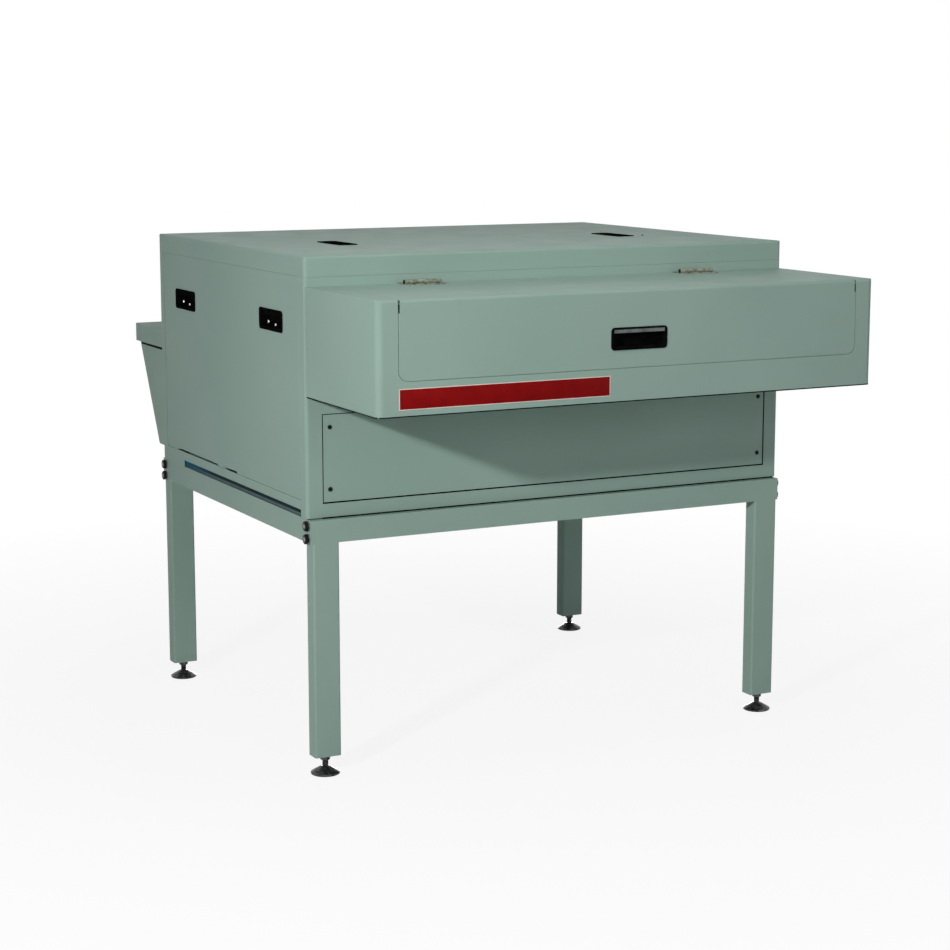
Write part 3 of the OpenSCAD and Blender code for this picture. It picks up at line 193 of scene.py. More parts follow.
def roller_finish():
    """Rollers in one piece along X: steel shaft, rubber cover, plastic gear, steel sprocket and shaft end."""
    reach = 0.5
    material, tree, shader, place = finish_base("roller_parts", 0.5)
    along = graded(tree, along_axis(tree, place, "X"), -reach, reach, 0, 1)
    bands = [(-500, "steel"), (-452, "rubber"), (364, "steel"), (373.5, "nylon"), (384.5, "steel")]
    colours = {"steel": (0.50, 0.51, 0.52), "rubber": (0.055, 0.058, 0.062), "nylon": (0.72, 0.71, 0.66)}
    gloss = {"steel": (1, 0.28), "rubber": (0, 0.62), "nylon": (0, 0.40)}
    ramps = []
    for _ in range(2):
        ramp = tree.nodes.new("ShaderNodeValToRGB")
        ramp.color_ramp.interpolation = "CONSTANT"
        link(tree, along, ramp.inputs["Fac"])
        while len(ramp.color_ramp.elements) < len(bands):
            ramp.color_ramp.elements.new(0.5)
        ramps.append(ramp)
    for k, (start, stuff) in enumerate(bands):
        at = (start * MM + reach) / (2 * reach)
        ramps[0].color_ramp.elements[k].position = at
        ramps[0].color_ramp.elements[k].color = (*colours[stuff], 1)
        ramps[1].color_ramp.elements[k].position = at
        ramps[1].color_ramp.elements[k].color = (*gloss[stuff], 0, 1)
    worn = graded(tree, cloudy(tree, place, 40.0), 0.35, 0.7, 0, 0.22)
    link(tree, blended(tree, worn, ramps[0].outputs["Color"], (0.18, 0.18, 0.18)), shader.inputs["Base Color"])
    parts = tree.nodes.new("ShaderNodeSeparateColor")
    link(tree, ramps[1].outputs["Color"], parts.inputs["Color"])
    link(tree, parts.outputs["Red"], shader.inputs["Metallic"])
    link(tree, parts.outputs["Green"], shader.inputs["Roughness"])
    raised(tree, shader, cloudy(tree, place, 1300.0, 2.0), 0.03 * MM)
    return material


FINISH = {
    "paint": paint_finish(),
    "roller": roller_finish(),
    "bolt": plain_finish("black_oxide", (0.004, 0.004, 0.0045), (0.015, 0.015, 0.016), 180, 0.40, specular=0.08),
    "foot": plain_finish("worn_steel", (0.006, 0.006, 0.007), (0.120, 0.120, 0.124), 150, 0.32, 0.6, specular=0.2),
    "zinc": plain_finish("dull_zinc", (0.14, 0.145, 0.15), (0.30, 0.31, 0.32), 120, 0.36, 0.9),
    "bright": plain_finish("bright_zinc", (0.62, 0.62, 0.64), (0.80, 0.80, 0.82), 160, 0.24, 1.0),
    "packing": packing_finish(),
    "black": plain_finish("black_moulding", (0.0025, 0.0025, 0.003), (0.006, 0.006, 0.0065), 60, 0.45, grain=1400,
                          specular=0.0),
    # painted highlight for the lid pull's lip
    "grey": plain_finish("lip_painted_highlight", (0.035, 0.048, 0.048), (0.150, 0.180, 0.170), 45, 0.35, grain=1400),
    "brass": plain_finish("dulled_brass", (0.090, 0.105, 0.075), (0.330, 0.365, 0.290), 130, 0.45, 0.2,
                          specular=0.2),
    "stainless": plain_finish("brushed_stainless", (0.46, 0.47, 0.48), (0.60, 0.61, 0.62), 26, 0.32, 1.0,
                              grain=260, depth=0.04, stretch=(1, 9, 9)),
    "grey_paint": plain_finish("grey_enamel", (0.075, 0.085, 0.092), (0.105, 0.115, 0.122), 12, 0.45, grain=420),
    "tank": plain_finish("tank_pvc", (0.245, 0.262, 0.285), (0.290, 0.305, 0.330), 9, 0.42, grain=700),
    "rack": plain_finish("rack_pvc", (0.52, 0.54, 0.56), (0.60, 0.62, 0.63), 14, 0.40, grain=700),
    "chain": plain_finish("oiled_chain", (0.035, 0.033, 0.030), (0.14, 0.135, 0.125), 210, 0.34, 0.9),
    "motor": plain_finish("motor_enamel", (0.030, 0.036, 0.046), (0.052, 0.060, 0.074), 22, 0.40, grain=380),
    "heater": plain_finish("heater_sheath", (0.30, 0.28, 0.25), (0.50, 0.48, 0.45), 60, 0.34, 1.0),
    "red": plain_finish("red_film", (0.185, 0.0025, 0.003), (0.230, 0.0035, 0.004), 34, 0.45, grain=1100,
                        depth=0.01, specular=0.05),
    "cream": plain_finish("cream_film", (0.66, 0.56, 0.48), (0.74, 0.65, 0.57), 34, 0.42, grain=1100, depth=0.01),
    # painted shade: a black for dark pieces set in seams and under edges where shade falls
    "painted_shade": plain_finish("black_painted_shade", (0.003, 0.0035, 0.004), (0.008, 0.009, 0.0095), 90, 0.75, grain=1500,
                           specular=0.01),
}

NODE_FINISH = {
    "paint": ["left_stand_frame", "right_stand_frame", "cross_rails", "base_pan", "front_panel", "access_panel",
              "rear_panel", "left_side_panel", "right_side_panel", "top_cover", "feed_housing", "feed_lid",
              "receiver_bin", "receiver_lid"],
    "bolt": ["frame_bolts"],
    "zinc": ["foot_lock_nuts", "foot_front_left", "foot_front_right", "foot_rear_left", "foot_rear_right"],
    "packing": ["packing_strips"],
    "black": ["left_pulls", "right_pulls", "top_pulls", "lid_pull", "dryer_fan_frame", "dryer_fan_impeller"],
    "brass": ["lid_hinge_fixed", "lid_hinge_leaves", "receiver_hinge_fixed", "receiver_hinge_leaves"],
    "stainless": ["feed_table", "dryer_frame"],
    "grey_paint": ["tank_bearers", "motor_bracket", "control_box"],
    "tank": ["developer_tank", "fixer_tank", "wash_tank", "drain_spigots"],
    "rack": ["developer_rack", "fixer_rack", "wash_rack"],
    "chain": ["drive_chain"],
    "motor": ["drive_motor", "circulation_pumps"],
    "heater": ["tank_heaters"],
}
for finish, names in NODE_FINISH.items():
    for name in names:
        nodes[name].data.materials.clear()
        nodes[name].data.materials.append(FINISH[finish])
for name, node in nodes.items():
    if name.endswith(("roller_lower", "roller_upper", "turn_roller")):
        node.data.materials.clear()
        node.data.materials.append(FINISH["roller"])


# Modelling steps. Points closer than DOUBLED are one point, and a normal above FACING counts as facing that way.

DOUBLED = 0.001 * MM
FACING = 0.9


def set_free():
    """Leaves edit mode and deselects everything."""
    if bpy.context.mode != "OBJECT":
        bpy.ops.object.mode_set(mode="OBJECT")
    bpy.ops.object.select_all(action="DESELECT")


def take(piece):
    """Makes a piece the only selected one."""
    set_free()
    piece.select_set(True)
    bpy.context.view_layer.objects.active = piece


def named(name):
    piece = bpy.context.active_object
    piece.name = name
    piece.data.name = name
    return piece


def start_box(name, low, high):
    set_free()
    low, high = Vector(low), Vector(high)
    bpy.ops.mesh.primitive_cube_add(size=1, location=(low + high) / 2, scale=high - low)
    bpy.ops.object.transform_apply(location=True, rotation=True, scale=True)
    return named(name)


def start_round(name, radius, depth, sides=32, base=(0, 0, 0)):
    """A round bar that stands on its base, along Z."""
    set_free()
    bpy.ops.mesh.primitive_cylinder_add(vertices=sides, radius=radius, depth=depth,
                                        location=Vector(base) + UP * depth / 2)
    bpy.ops.object.transform_apply(location=True, rotation=True, scale=True)
    return named(name)


def edit_faces(piece, test):
    """Enters edit mode with the faces selected whose centre and normal pass the test."""
    take(piece)
    bpy.context.tool_settings.mesh_select_mode = (False, False, True)
    for part in (piece.data.vertices, piece.data.edges):
        part.foreach_set("select", [False] * len(part))
    for face in piece.data.polygons:
        face.select = test(face.center, face.normal)
    bpy.ops.object.mode_set(mode="EDIT")


def edit_edges(piece, test):
    """Enters edit mode with the edges selected whose two ends pass the test."""
    take(piece)
    bpy.context.tool_settings.mesh_select_mode = (False, True, False)
    for part in (piece.data.vertices, piece.data.polygons):
        part.foreach_set("select", [False] * len(part))
    points = piece.data.vertices
    for edge in piece.data.edges:
        edge.select = test(points[edge.vertices[0]].co, points[edge.vertices[1]].co)
    bpy.ops.object.mode_set(mode="EDIT")


def done(piece, angle=35):
    """Merges doubled points, drops empty faces and shades the piece smooth up to an angle."""
    take(piece)
    bpy.ops.object.mode_set(mode="EDIT")
    bpy.ops.mesh.select_all(action="SELECT")
    bpy.ops.mesh.remove_doubles(threshold=DOUBLED)
    bpy.ops.mesh.dissolve_degenerate(threshold=DOUBLED)
    take(piece)
    bpy.ops.object.shade_smooth_by_angle(angle=math.radians(angle))
    return piece


def soften(piece, width, segments=2, angle=30):
    """Rounds the piece's edges with an applied bevel."""
    take(piece)
    bevel = piece.modifiers.new("edge", "BEVEL")
    bevel.width = width
    bevel.segments = segments
    bevel.limit_method = "ANGLE"
    bevel.angle_limit = math.radians(angle)
    bpy.ops.object.modifier_apply(modifier=bevel.name)
    return piece


def chopped(piece, tool, operation):
    """Cuts the tool out of the piece, or keeps what both share, and removes the tool."""
    take(piece)
    chop = piece.modifiers.new("chop", "BOOLEAN")
    chop.operation = operation
    chop.solver = "EXACT"
    chop.object = tool
    bpy.ops.object.modifier_apply(modifier=chop.name)
    bpy.data.objects.remove(tool)
    return piece


def cut(piece, *tools):
    for tool in tools:
        chopped(piece, tool, "DIFFERENCE")
    return piece


def joined(name, parts):
    set_free()
    for part in parts:
        part.select_set(True)
    bpy.context.view_layer.objects.active = parts[0]
    if len(parts) > 1:
        bpy.ops.object.join()
    return named(name)


def placed(name, model, places):
    """Copies of a model at the given places as one piece; the model is used up."""
    parts = []
    for place in places:
        take(model)
        bpy.ops.object.duplicate(linked=False)
        part = bpy.context.active_object
        part.matrix_world = place
        bpy.ops.object.transform_apply(location=True, rotation=True, scale=True)
        parts.append(part)
    bpy.data.objects.remove(model)
    return joined(name, parts)


def facing(point, out, turn=0.0):
    """A place for a model that stands along Z: at a point, pointing out, turned about its axis."""
    return (Matrix.Translation(point) @ Vector(out).to_track_quat("Z", "Y").to_matrix().to_4x4()
            @ Matrix.Rotation(math.radians(turn), 4, "Z"))


def ready(piece, finish, body, replaces=()):
    piece.data.materials.clear()
    piece.data.materials.append(FINISH[finish])
    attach(piece, body)
    if replaces:
        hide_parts(*replaces)


# Screws, bolts and turned pieces

def turned(name, outline, steps=48):
    """A closed solid turned about Z from an outline of radius and height, both ends on the axis."""
    set_free()
    bpy.ops.mesh.primitive_plane_add(size=1)
    piece = named(name)
    bpy.context.tool_settings.mesh_select_mode = (True, False, False)
    bpy.ops.object.mode_set(mode="EDIT")
    bpy.ops.mesh.select_all(action="SELECT")
    bpy.ops.mesh.merge(type="CENTER")
    last = (0, 0)
    for k, (r, z) in enumerate(outline):
        step = {"value": (r - last[0], 0, z - last[1])}
        if k == 0:
            bpy.ops.transform.translate(**step)
        else:
            bpy.ops.mesh.extrude_vertices_move(TRANSFORM_OT_translate=step)
        last = (r, z)
    bpy.ops.mesh.select_all(action="SELECT")
    bpy.ops.mesh.spin(steps=steps, angle=2 * math.pi, center=(0, 0, 0), axis=(0, 0, 1))
    bpy.ops.mesh.select_all(action="SELECT")
    bpy.ops.mesh.remove_doubles(threshold=DOUBLED)
    bpy.ops.mesh.normals_make_consistent(inside=False)
    return done(piece)


def hexagon(flats, height, both_ends=False):
    """A hexagonal head or nut on Z = 0 whose corners are turned off at its top, or at both ends."""
    corner = flats / math.sqrt(3)
    ring, drop, past = 0.475 * flats, 0.06 * flats, 0.1 * MM
    reach = 1.02 * corner
    foot = [(ring, 0), (reach, drop)] if both_ends else [(reach, -past)]
    limit = turned("limit", [(0, foot[0][1]), *foot, (reach, height - drop), (ring, height), (0, height)])
    return done(chopped(start_round("hexagon", corner, height, 6), limit, "INTERSECT"))


def domed_head(radius, height, rim, steps=4):
    """A head with a straight rim and a round crown, standing on Z = 0."""
    last_share = 0.97
    head = start_round("head", radius, rim)
    edit_faces(head, lambda centre, normal: normal.z > FACING)
    crown = height - rim
    for k in range(steps):
        a, b = (math.pi / 2 * x / steps for x in (k, k + 1))
        step_in = radius * (math.cos(a) - math.cos(b)) * (last_share if k == steps - 1 else 1)
        bpy.ops.mesh.inset(thickness=step_in)
        bpy.ops.transform.translate(value=(0, 0, crown * (math.sin(b) - math.sin(a))))
    return done(head)


def slot_cutter(length, width, top, depth, turn=0.0):
    cutter = start_box("cutter", (-length, -width / 2, top - depth), (length, width / 2, top + depth))
    cutter.matrix_world = Matrix.Rotation(math.radians(turn), 4, "Z")
    bpy.ops.object.transform_apply(location=True, rotation=True, scale=True)
    return cutter


def slotted_screw(radius, height, rim):
    width, depth = 0.26 * radius, 0.42 * height
    head = domed_head(radius, height, rim)
    return done(cut(head, slot_cutter(2 * radius, width, height, depth)))


def cross_screw(radius, height, rim):
    length, width, depth = 0.62 * radius, 0.24 * radius, 0.5 * height
    head = domed_head(radius, height, rim)
    arms = [slot_cutter(length, width, height, depth, turn) for turn in (0, 90)]
    return done(cut(head, *arms))


# Access panel: four slotted screws, and black pieces in and round its seam that paint its shade, wider on the
# right and bottom as a painted shadow

panel_low, panel_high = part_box("access_panel")
SCREW_IN, SCREW_UP, SCREW_DOWN = 14 * MM, 25 * MM, 24 * MM
corners = [Vector((x, panel_low.y, z)) for x in (panel_low.x + SCREW_IN, panel_high.x - SCREW_IN)
           for z in (panel_low.z + SCREW_UP, panel_high.z - SCREW_DOWN)]
turns = (8, 24, -15, 3)
ACCESS_SCREW = (4.4 * MM, 2.8 * MM, 0.8 * MM)
ready(placed("access_screws", slotted_screw(*ACCESS_SCREW),
             [facing(p, (0, -1, 0), t) for p, t in zip(corners, turns)]),
      "bolt", "root")


def panel_frame(name, y_low, y_high, left, right, low, high, width):
    """A ring round the access panel: how far it stands out on each side, and how wide it is.

    The first width is for its left and top bars, the second for its right and bottom bars.
    """
    ring = start_box(name, (panel_low.x - left, y_low, panel_low.z - low),
                     (panel_high.x + right, y_high, panel_high.z + high))
    window = start_box("window", (panel_low.x - left + width[0], y_low - MM, panel_low.z - low + width[1]),
                       (panel_high.x + right - width[1], y_high + MM, panel_high.z + high - width[0]))
    return cut(ring, window)


TONGUE_FRONT, TONGUE_REAR, TONGUE_OUT, TONGUE_W = 0.05 * MM, 1.95 * MM, 1.3 * MM, 1.1 * MM
LIP_FRONT, LIP_REAR = 0.3 * MM, 0.02 * MM
# painted shadow: the black lips are wider on the right and bottom, where the panel casts its shadow; the tongue
# paints the shade inside the seam
LIGHT_SIDE_OUT, LIGHT_SIDE_W, SHADOW_SIDE_OUT, SHADOW_SIDE_W = 1.55 * MM, 1.6 * MM, 2.2 * MM, 2.8 * MM
seam_shade_tongue = panel_frame("seam_shade_tongue", panel_low.y - TONGUE_FRONT, panel_low.y + TONGUE_REAR,
                     TONGUE_OUT, TONGUE_OUT, TONGUE_OUT, TONGUE_OUT, (TONGUE_W, TONGUE_W))
painted_shadow_lips = panel_frame("painted_shadow_lips", panel_low.y - LIP_FRONT, panel_low.y - LIP_REAR,
                   LIGHT_SIDE_OUT, SHADOW_SIDE_OUT, SHADOW_SIDE_OUT, LIGHT_SIDE_OUT, (LIGHT_SIDE_W, SHADOW_SIDE_W))
ready(done(joined("access_seam_shade", [seam_shade_tongue, painted_shadow_lips])), "painted_shade", "root")


# Front wall: a dark bead along its foot, on the ledge of the front rail, that paints the shade in the seam above
# the stand

wall_low, wall_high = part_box("front_panel")
rail_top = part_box("cross_rails")[1].z
BEAD_T, BEAD_RISE, BEAD_FIT = 0.7 * MM, 2.8 * MM, 0.02 * MM
BEAD_LEFT, BEAD_RIGHT = 32 * MM, 10 * MM
shadow_bead = start_box("front_wall_shadow_bead", (wall_low.x + BEAD_LEFT, wall_low.y - BEAD_T, rail_top + BEAD_FIT),
                 (wall_high.x - BEAD_RIGHT, wall_low.y - BEAD_FIT, rail_top + BEAD_RISE))
ready(done(soften(shadow_bead, 0.2 * MM)), "painted_shade", "root")


# Feed box: a dark edging round the sheet's lower edge, a painted shadow that stands in for the contact shadow
# under it

box_low, box_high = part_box("feed_housing")
feed_y = box_low.y
BOX_CORNER, BOX_SHEET = 12 * MM, 2 * MM
EDGING_T, EDGING_DROP, EDGING_RISE = 0.3 * MM, 1.5 * MM, 0.7 * MM
EDGING_END, EDGING_FIT = 0.5 * MM, 0.02 * MM
PAST = 9 * MM


def box_outline(name, out, z_low, z_high, rear):
    """A block with the feed box's outline and rounded front corners, moved out by a distance."""
    block = start_box(name, (box_low.x - out, box_low.y - out, z_low), (box_high.x + out, rear, z_high))
    edit_edges(block, lambda a, b: max(a.y, b.y) < box_low.y + MM and abs(a.z - b.z) > 0.5 * (z_high - z_low))
    bpy.ops.mesh.bevel(offset=BOX_CORNER + out, segments=8)
    set_free()
    return block


shadow_edging = box_outline("feed_box_shadow_edging", EDGING_T, box_low.z - EDGING_DROP, box_low.z + EDGING_RISE,
                     box_high.y - EDGING_END)
groove = box_outline("groove", EDGING_FIT, box_low.z, box_low.z + PAST, box_high.y + PAST)
window = box_outline("window", -BOX_SHEET - EDGING_T, box_low.z - PAST, box_low.z + PAST, box_high.y + PAST)
ready(done(soften(cut(shadow_edging, groove, window), 0.08 * MM)), "painted_shade", "root")


# Feed box front: the bare red strip with its pale border

STRIP_LOW, STRIP_HIGH = mm(-490, 0, 748), mm(-61, 0, 786)
BORDER, BORDER_FRONT, BORDER_REAR, RECESS = 1.5 * MM, 0.5 * MM, 0.05 * MM, 0.25 * MM
STRIP_FRONT, STRIP_REAR = 0.6 * MM, 0.22 * MM
border = start_box("front_strip_border", (STRIP_LOW.x, feed_y - BORDER_FRONT, STRIP_LOW.z),
                   (STRIP_HIGH.x, feed_y + BORDER_REAR, STRIP_HIGH.z))
edit_faces(border, lambda centre, normal: normal.y < -FACING)
bpy.ops.mesh.inset(thickness=BORDER)
bpy.ops.mesh.extrude_region_move(TRANSFORM_OT_translate={"value": (0, RECESS, 0)})
ready(done(soften(border, 0.15 * MM)), "cream", "root")
strip = start_box("front_strip", (STRIP_LOW.x + BORDER, feed_y - STRIP_FRONT, STRIP_LOW.z + BORDER),
                  (STRIP_HIGH.x - BORDER, feed_y - STRIP_REAR, STRIP_HIGH.z - BORDER))
ready(done(soften(strip, 0.12 * MM)), "red", "root")


# Feed lid: dark felt behind the open corners beside its bend, painted shade that makes the notches read as dark
# slits

lid_low, lid_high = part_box("feed_lid")
FELT_IN, FELT_T, FELT_OUT, FELT_UNDER = 2.18 * MM, 0.15 * MM, 0.9 * MM, 4 * MM
FELT_TOP, FELT_FOOT = 8.6 * MM, 27 * MM
felt_y = feed_y + FELT_IN
shade_felts = [start_box("felt", (left, felt_y, lid_high.z - FELT_FOOT),
                   (right, felt_y + FELT_T, lid_high.z - FELT_TOP))
         for left, right in ((lid_low.x - FELT_OUT, lid_low.x + FELT_UNDER),
                             (lid_high.x - FELT_UNDER, lid_high.x + FELT_OUT))]
ready(done(soften(joined("lid_corner_shade_felts", shade_felts), 0.03 * MM)), "painted_shade", "root")


# Flush pulls: two bosses with screws in each cup, and a grey lip in the lid's pull whose grey is a painted
# highlight

CUP_FLOOR = 13.5 * MM
BOSS_R, BOSS_H = 4.2 * MM, 8 * MM
BOSS_SPOTS = ((-12.54 * MM, 9.2 * MM), (24.7 * MM, 5.5 * MM))
PULL_SCREW = (3.4 * MM, 2.2 * MM, 0.7 * MM)
FIRST_TURN, NEXT_TURN = 20, 45
SIDE_PULL_Y, TOP_PULL_HALF = 244 * MM, 21 * MM


def pull_screws(body, points, out, along, down):
    """Two bosses on the floor of each cup, beside and below its middle, with a cross screw in each."""
    out, along, down = Vector(out), Vector(along), Vector(down)
    spots = [Vector(point) - out * CUP_FLOOR + down * low + along * beside
             for point in points for beside, low in BOSS_SPOTS]
    bosses = placed(body + "_pull_bosses", soften(start_round("boss", BOSS_R, BOSS_H), 0.4 * MM),
                    [facing(spot, out) for spot in spots])
    ready(done(bosses), "black", body)
    screws = placed(body + "_pull_screws", cross_screw(*PULL_SCREW),
                    [facing(spot + out * BOSS_H, out, FIRST_TURN + NEXT_TURN * k) for k, spot in enumerate(spots)])
    ready(screws, "bright", body)


cover_low, cover_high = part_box("top_cover")
mid_y = (cover_low.y + cover_high.y) / 2
pulls_z = sum(p.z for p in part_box("left_pulls")) / 2
for side, body in ((-1, "left_panel"), (1, "right_panel")):
    pull_screws(body, [(side * cover_high.x, mid_y + k * SIDE_PULL_Y, pulls_z) for k in (-1, 1)],
                (side, 0, 0), (0, 1, 0), (0, 0, -1))
top_y = sum(p.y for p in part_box("top_pulls")) / 2
top_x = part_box("top_pulls")[1].x - TOP_PULL_HALF
pull_screws("cover", [(k * top_x, top_y, cover_high.z) for k in (-1, 1)], (0, 0, 1), (0, 1, 0), (1, 0, 0))

GRIP_HALF, GRIP_LOW, GRIP_HIGH = 54 * MM, 10.5 * MM, 17 * MM
GRIP_FRONT, GRIP_REAR, GRIP_R = 2 * MM, 1.2 * MM, 1 * MM
lid_pull_z = sum(p.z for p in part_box("lid_pull")) / 2
# painted highlight: the grey lip stands in for the sheen on the pull's lip
lip = start_box("lid_pull_highlight_lip", (-GRIP_HALF, feed_y - GRIP_FRONT, lid_pull_z + GRIP_LOW),
                (GRIP_HALF, feed_y + GRIP_REAR, lid_pull_z + GRIP_HIGH))
edit_edges(lip, lambda a, b: max(a.z, b.z) < lid_pull_z + GRIP_LOW + 0.5 * MM and abs(a.x - b.x) > GRIP_HALF)
bpy.ops.mesh.bevel(offset=GRIP_R, segments=4)
ready(done(lip), "grey", "lid")


# Hinges: countersunk slotted screws in each leaf, and the pins' heads

LEAF_MIDDLE, LEAF_T = 16.5 * MM, 2 * MM
HINGE_X, HINGE_L = 306 * MM, 76 * MM
AXIS_GAP, AXIS_RISE = 0.5 * MM, 5 * MM
SCREW_ROW = (-26 * MM, 0, 26 * MM)
HINGE_SCREW = (3.6 * MM, 0.9 * MM, 0.25 * MM)
PIN_HEAD = (4 * MM, 1.6 * MM, 0.6 * MM)
PIN_GAP = 0.05 * MM


def hinge_screws(name, body, points, out, turns):
    heads = placed(name, slotted_screw(*HINGE_SCREW), [facing(p, out, t) for p, t in zip(points, turns)])
    ready(heads, "bolt", body)


def pin_heads(name, y, z):
    """A dark head on both ends of each hinge pin of a lid."""
    ends = [(hinge * HINGE_X + end * (HINGE_L / 2 + PIN_GAP), end) for hinge in (-1, 1) for end in (-1, 1)]
    heads = placed(name, domed_head(*PIN_HEAD), [facing((x, y, z), (end, 0, 0)) for x, end in ends])
    ready(heads, "bolt", "root")


xs = [side * HINGE_X + dx for side in (-1, 1) for dx in SCREW_ROW]
lid_axis_y = lid_high.y + AXIS_GAP
hinge_screws("lid_hinge_screws_fixed", "root",
             [Vector((x, lid_axis_y + LEAF_MIDDLE, lid_high.z + LEAF_T)) for x in xs], (0, 0, 1),
             (10, 75, 40, 20, 95, 60))
hinge_screws("lid_hinge_screws_leaf", "lid",
             [Vector((x, lid_axis_y - LEAF_MIDDLE, lid_high.z + LEAF_T)) for x in xs], (0, 0, 1),
             (30, 5, 80, 50, 15, 110))
rear_y = cover_high.y
flap_low, flap_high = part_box("receiver_lid")
pin_heads("lid_hinge_pin_heads", lid_axis_y, lid_high.z + AXIS_RISE)
pin_heads("receiver_hinge_pin_heads", rear_y + AXIS_RISE, flap_high.z + AXIS_RISE)
hinge_screws("receiver_hinge_screws_leaf", "receiver_flap",
             [Vector((x, rear_y + AXIS_RISE + LEAF_MIDDLE, flap_high.z + LEAF_T)) for x in xs], (0, 0, 1),
             (12, 70, 45, 25, 90, 65))
hinge_screws("receiver_hinge_screws_fixed", "root",
             [Vector((x, rear_y + LEAF_T, flap_high.z + AXIS_RISE + LEAF_MIDDLE)) for x in xs], (0, 1, 0),
             (35, 8, 85, 55, 18, 100))


# Levelling feet: a turned foot with a cut thread on its stud

STUD_R, THREAD_DEPTH, PITCH, THREAD_LOW = 5.99, 0.75, 1.75, 15.2
TIP_R, TIP_H = 4.6, 1.2


def thread_outline(radius, depth, pitch, low, high):
    """Rings of a thread's section from low to high, each with a narrow crest."""
    crest = (0.42 * pitch, 0.58 * pitch)
    points = []
    z = low
    while z + pitch <= high:
        points += [(radius - depth, z), (radius, z + crest[0]), (radius, z + crest[1])]
        z += pitch
    return points + [(radius - depth, z)]


foot_low, foot_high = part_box("foot_front_left")
foot_r = (foot_high.x - foot_low.x) / 2 / MM
stud_top = foot_high.z / MM
outline = [(0, 0), (foot_r - 1.2, 0), (foot_r - 0.2, 0.7), (foot_r, 1.4), (foot_r, 3.4), (foot_r - 0.5, 4.0),
           (foot_r - 1.4, 4.4), (23.2, 7.0), (17.5, 10.2), (12.3, 13.1), (9.8, 14.5), (8.8, 15.0), (6.2, 15.0)]
outline += thread_outline(STUD_R, THREAD_DEPTH, PITCH, THREAD_LOW, stud_top - TIP_H)
outline += [(TIP_R, stud_top), (0, stud_top)]
foot_model = turned("foot_model", [(r * MM, z * MM) for r, z in outline])
for end in ("front", "rear"):
    for hand in ("left", "right"):
        node = "foot_%s_%s" % (end, hand)
        low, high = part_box(node)
        spot = Vector(((low.x + high.x) / 2, (low.y + high.y) / 2, 0))
        take(foot_model)
        bpy.ops.object.duplicate(linked=False)
        foot = placed("%s_%s_levelling_foot" % (end, hand), bpy.context.active_object, [Matrix.Translation(spot)])
        ready(foot, "foot", "%s_%s_foot" % (end, hand), [node])
bpy.data.objects.remove(foot_model)

nuts_low, nuts_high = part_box("foot_lock_nuts")
NUT_AF, NUT_BORE, NUT_TURN = 18 * MM, 6.05 * MM, 30
nut_h = nuts_high.z - nuts_low.z
bore = start_round("bore", NUT_BORE, 3 * nut_h, base=(0, 0, -nut_h))
nut = done(cut(hexagon(NUT_AF, nut_h, both_ends=True), bore))
nut_x, nut_y = nuts_high.x - NUT_AF / math.sqrt(3), nuts_high.y - NUT_AF / 2
nut_ys = (nut_y, nuts_low.y + nuts_high.y - nut_y)
nut_spots = [Vector((side * nut_x, y, nuts_low.z)) for side in (-1, 1) for y in nut_ys]
nuts = placed("leg_lock_nuts", nut, [facing(spot, UP, NUT_TURN) for spot in nut_spots])
ready(nuts, "foot", "root", ["foot_lock_nuts"])


# Stand bolts: dark hexagon heads over zinc washers, with a thin zinc disc on each head's end as a painted
# highlight of its light centre

bolts_low, bolts_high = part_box("frame_bolts")
WASHER_R, WASHER_T, HEAD_AF, HEAD_H = 10 * MM, 2 * MM, 17 * MM, 6.5 * MM
SHANK_R, SHANK_L = 5 * MM, 64.5 * MM
END_R, END_T = 4.2 * MM, 0.2 * MM
BOLT_TURN = 17
stand_x = bolts_high.x - WASHER_T - HEAD_H
bolt_places = [facing((side * stand_x, y, z), (side, 0, 0), BOLT_TURN * k)
               for side in (-1, 1) for y in (bolts_low.y + WASHER_R, bolts_high.y - WASHER_R)
               for k, z in enumerate((bolts_low.z + WASHER_R, bolts_high.z - WASHER_R))]
head = placed("head", hexagon(HEAD_AF, HEAD_H), [Matrix.Translation(UP * WASHER_T)])
shank = start_round("shank", SHANK_R, SHANK_L + WASHER_T, base=(0, 0, -SHANK_L))
bolts = placed("stand_bolts", done(joined("bolt", [head, shank])), bolt_places)
ready(bolts, "bolt", "root", ["frame_bolts"])
# painted highlight: a zinc disc on the head's end stands in for the light centre that a reflection gives
end_highlight_disc = start_round("end_highlight_disc", END_R, END_T, base=UP * (WASHER_T + HEAD_H - END_T / 2))
end_highlight_discs = placed("stand_bolt_end_highlights", soften(end_highlight_disc, 0.05 * MM), bolt_places)
ready(done(end_highlight_discs), "zinc", "root")
washer = soften(start_round("washer", WASHER_R, WASHER_T), 0.3 * MM)
ready(done(placed("stand_bolt_washers", washer, bolt_places)), "zinc", "root")


# Receiver: a dark seal on the bin's sides, under the lid's edge, a painted shadow of the lid's edge

bin_low, bin_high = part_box("receiver_bin")
SEAL_T, SEAL_FRONT, SEAL_REAR = 1 * MM, 4 * MM, 164 * MM
SEAL_FOOT, SEAL_TOP = 6 * MM, 0.3 * MM
shadow_seals = [start_box("seal", (left, rear_y + SEAL_FRONT, flap_low.z - SEAL_FOOT),
                   (left + SEAL_T, rear_y + SEAL_REAR, flap_low.z - SEAL_TOP))
         for left in (bin_low.x - SEAL_T, bin_high.x)]
ready(done(soften(joined("receiver_shadow_seals", shadow_seals), 0.3 * MM)), "painted_shade", "root")


# Cover: a small black plug near its right pull

PLUG = (3 * MM, 1.4 * MM, 0.4 * MM)
PLUG_X, PLUG_Y = 375 * MM, -62 * MM
plug = placed("cover_plug", domed_head(*PLUG), [facing(Vector((PLUG_X, PLUG_Y, cover_high.z)), UP)])
ready(plug, "black", "cover")


# Floor, backdrop and light

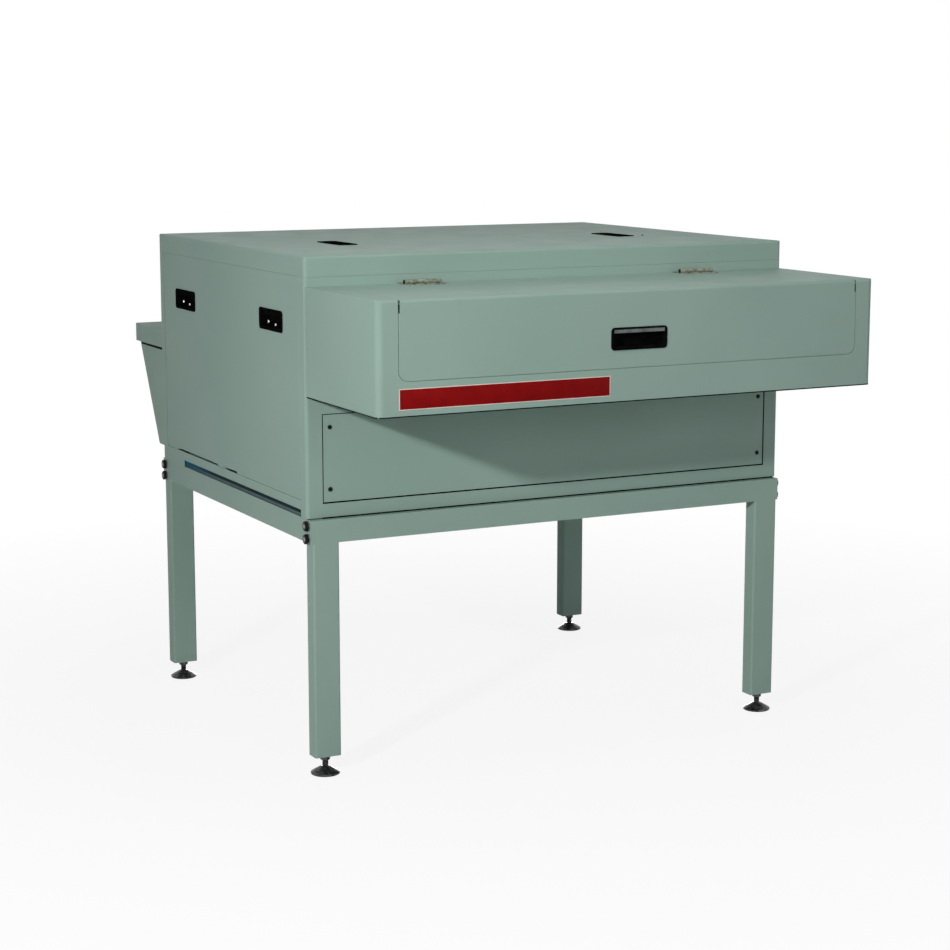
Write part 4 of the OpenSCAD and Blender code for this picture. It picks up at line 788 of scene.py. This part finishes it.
def backdrop_rays(tree):
    """One for the rays that see the backdrop: from the camera, in a reflection or through glass."""
    rays = tree.nodes.new("ShaderNodeLightPath")
    seen = rays.outputs["Is Camera Ray"]
    for kind in ("Is Glossy Ray", "Is Transmission Ray"):
        either = tree.nodes.new("ShaderNodeMath")
        either.operation = "MAXIMUM"
        link(tree, seen, either.inputs[0])
        link(tree, rays.outputs[kind], either.inputs[1])
        seen = either.outputs[0]
    return seen


FLOOR_SIZE, FLOOR_Z = 40, -0.5 * MM
GLOW_NEAR, GLOW_FAR, GLOW_LEAST = 0.8, 2.4, 0.88
AMBIENT = 0.05

set_free()
bpy.ops.mesh.primitive_plane_add(size=FLOOR_SIZE, location=(0, 0, FLOOR_Z))
floor = named("studio_floor")
white = bpy.data.materials.new("studio_white")
white.use_nodes = True
tree = white.node_tree
shader = tree.nodes["Principled BSDF"]
shader.inputs["Base Color"].default_value = (0.86, 0.86, 0.86, 1)
shader.inputs["Roughness"].default_value = 0.9
shader.inputs["Specular IOR Level"].default_value = 0.0
glow = tree.nodes.new("ShaderNodeEmission")
glow.inputs["Strength"].default_value = 1.0
reach = tree.nodes.new("ShaderNodeVectorMath")
reach.operation = "LENGTH"
link(tree, tree.nodes.new("ShaderNodeTexCoord").outputs["Object"], reach.inputs[0])
clear = graded(tree, reach.outputs["Value"], GLOW_NEAR, GLOW_FAR, GLOW_LEAST, 1.0)
share = tree.nodes.new("ShaderNodeMath")
share.operation = "MULTIPLY"
link(tree, clear, share.inputs[0])
link(tree, backdrop_rays(tree), share.inputs[1])
mix = tree.nodes.new("ShaderNodeMixShader")
link(tree, share.outputs[0], mix.inputs["Fac"])
link(tree, shader.outputs[0], mix.inputs[1])
link(tree, glow.outputs[0], mix.inputs[2])
link(tree, mix.outputs[0], tree.nodes["Material Output"].inputs["Surface"])
floor.data.materials.append(white)

world = bpy.data.worlds.new("studio")
world.use_nodes = True
scene.world = world
tree = world.node_tree
back = tree.nodes["Background"]
back.inputs["Color"].default_value = (1, 1, 1, 1)
link(tree, graded(tree, backdrop_rays(tree), 0, 1, AMBIENT, 1), back.inputs["Strength"])


def soft_lamp(name, place, target, size, power, spread=180):
    data = bpy.data.lights.new(name, "AREA")
    data.shape = "RECTANGLE"
    data.size, data.size_y = size
    data.energy = power
    data.spread = math.radians(spread)
    lamp = bpy.data.objects.new(name, data)
    scene.collection.objects.link(lamp)
    lamp.location = place
    lamp.rotation_euler = (Vector(target) - Vector(place)).to_track_quat("-Z", "Y").to_euler()


soft_lamp("key", (-3.03, -2.30, 1.767), (0.2, -0.4, 0.6), (0.16, 0.14), 24, 100)
soft_lamp("front_fill", (0.5, -4.8, 1.6), (0.0, -0.4, 0.6), (2.2, 1.6), 27)
soft_lamp("right_fill", (3.6, -3.0, 1.4), (0.2, -0.4, 0.5), (1.4, 1.4), 16)
soft_lamp("left_fill", (-4.6, 0.4, 1.3), (-0.5, 0.1, 0.6), (1.6, 1.4), 9)
soft_lamp("rear_fill", (2.2, 4.4, 0.62), (0.1, 0.2, 0.6), (2.4, 0.7), 95)
soft_lamp("overhead", (0.0, -0.4, 3.6), (0, 0, 0.9), (2.4, 2.0), 12)
soft_lamp("top_strip", (-0.2, -1.0, 1.9), (-0.1, -0.35, 0.9), (1.4, 0.3), 5)
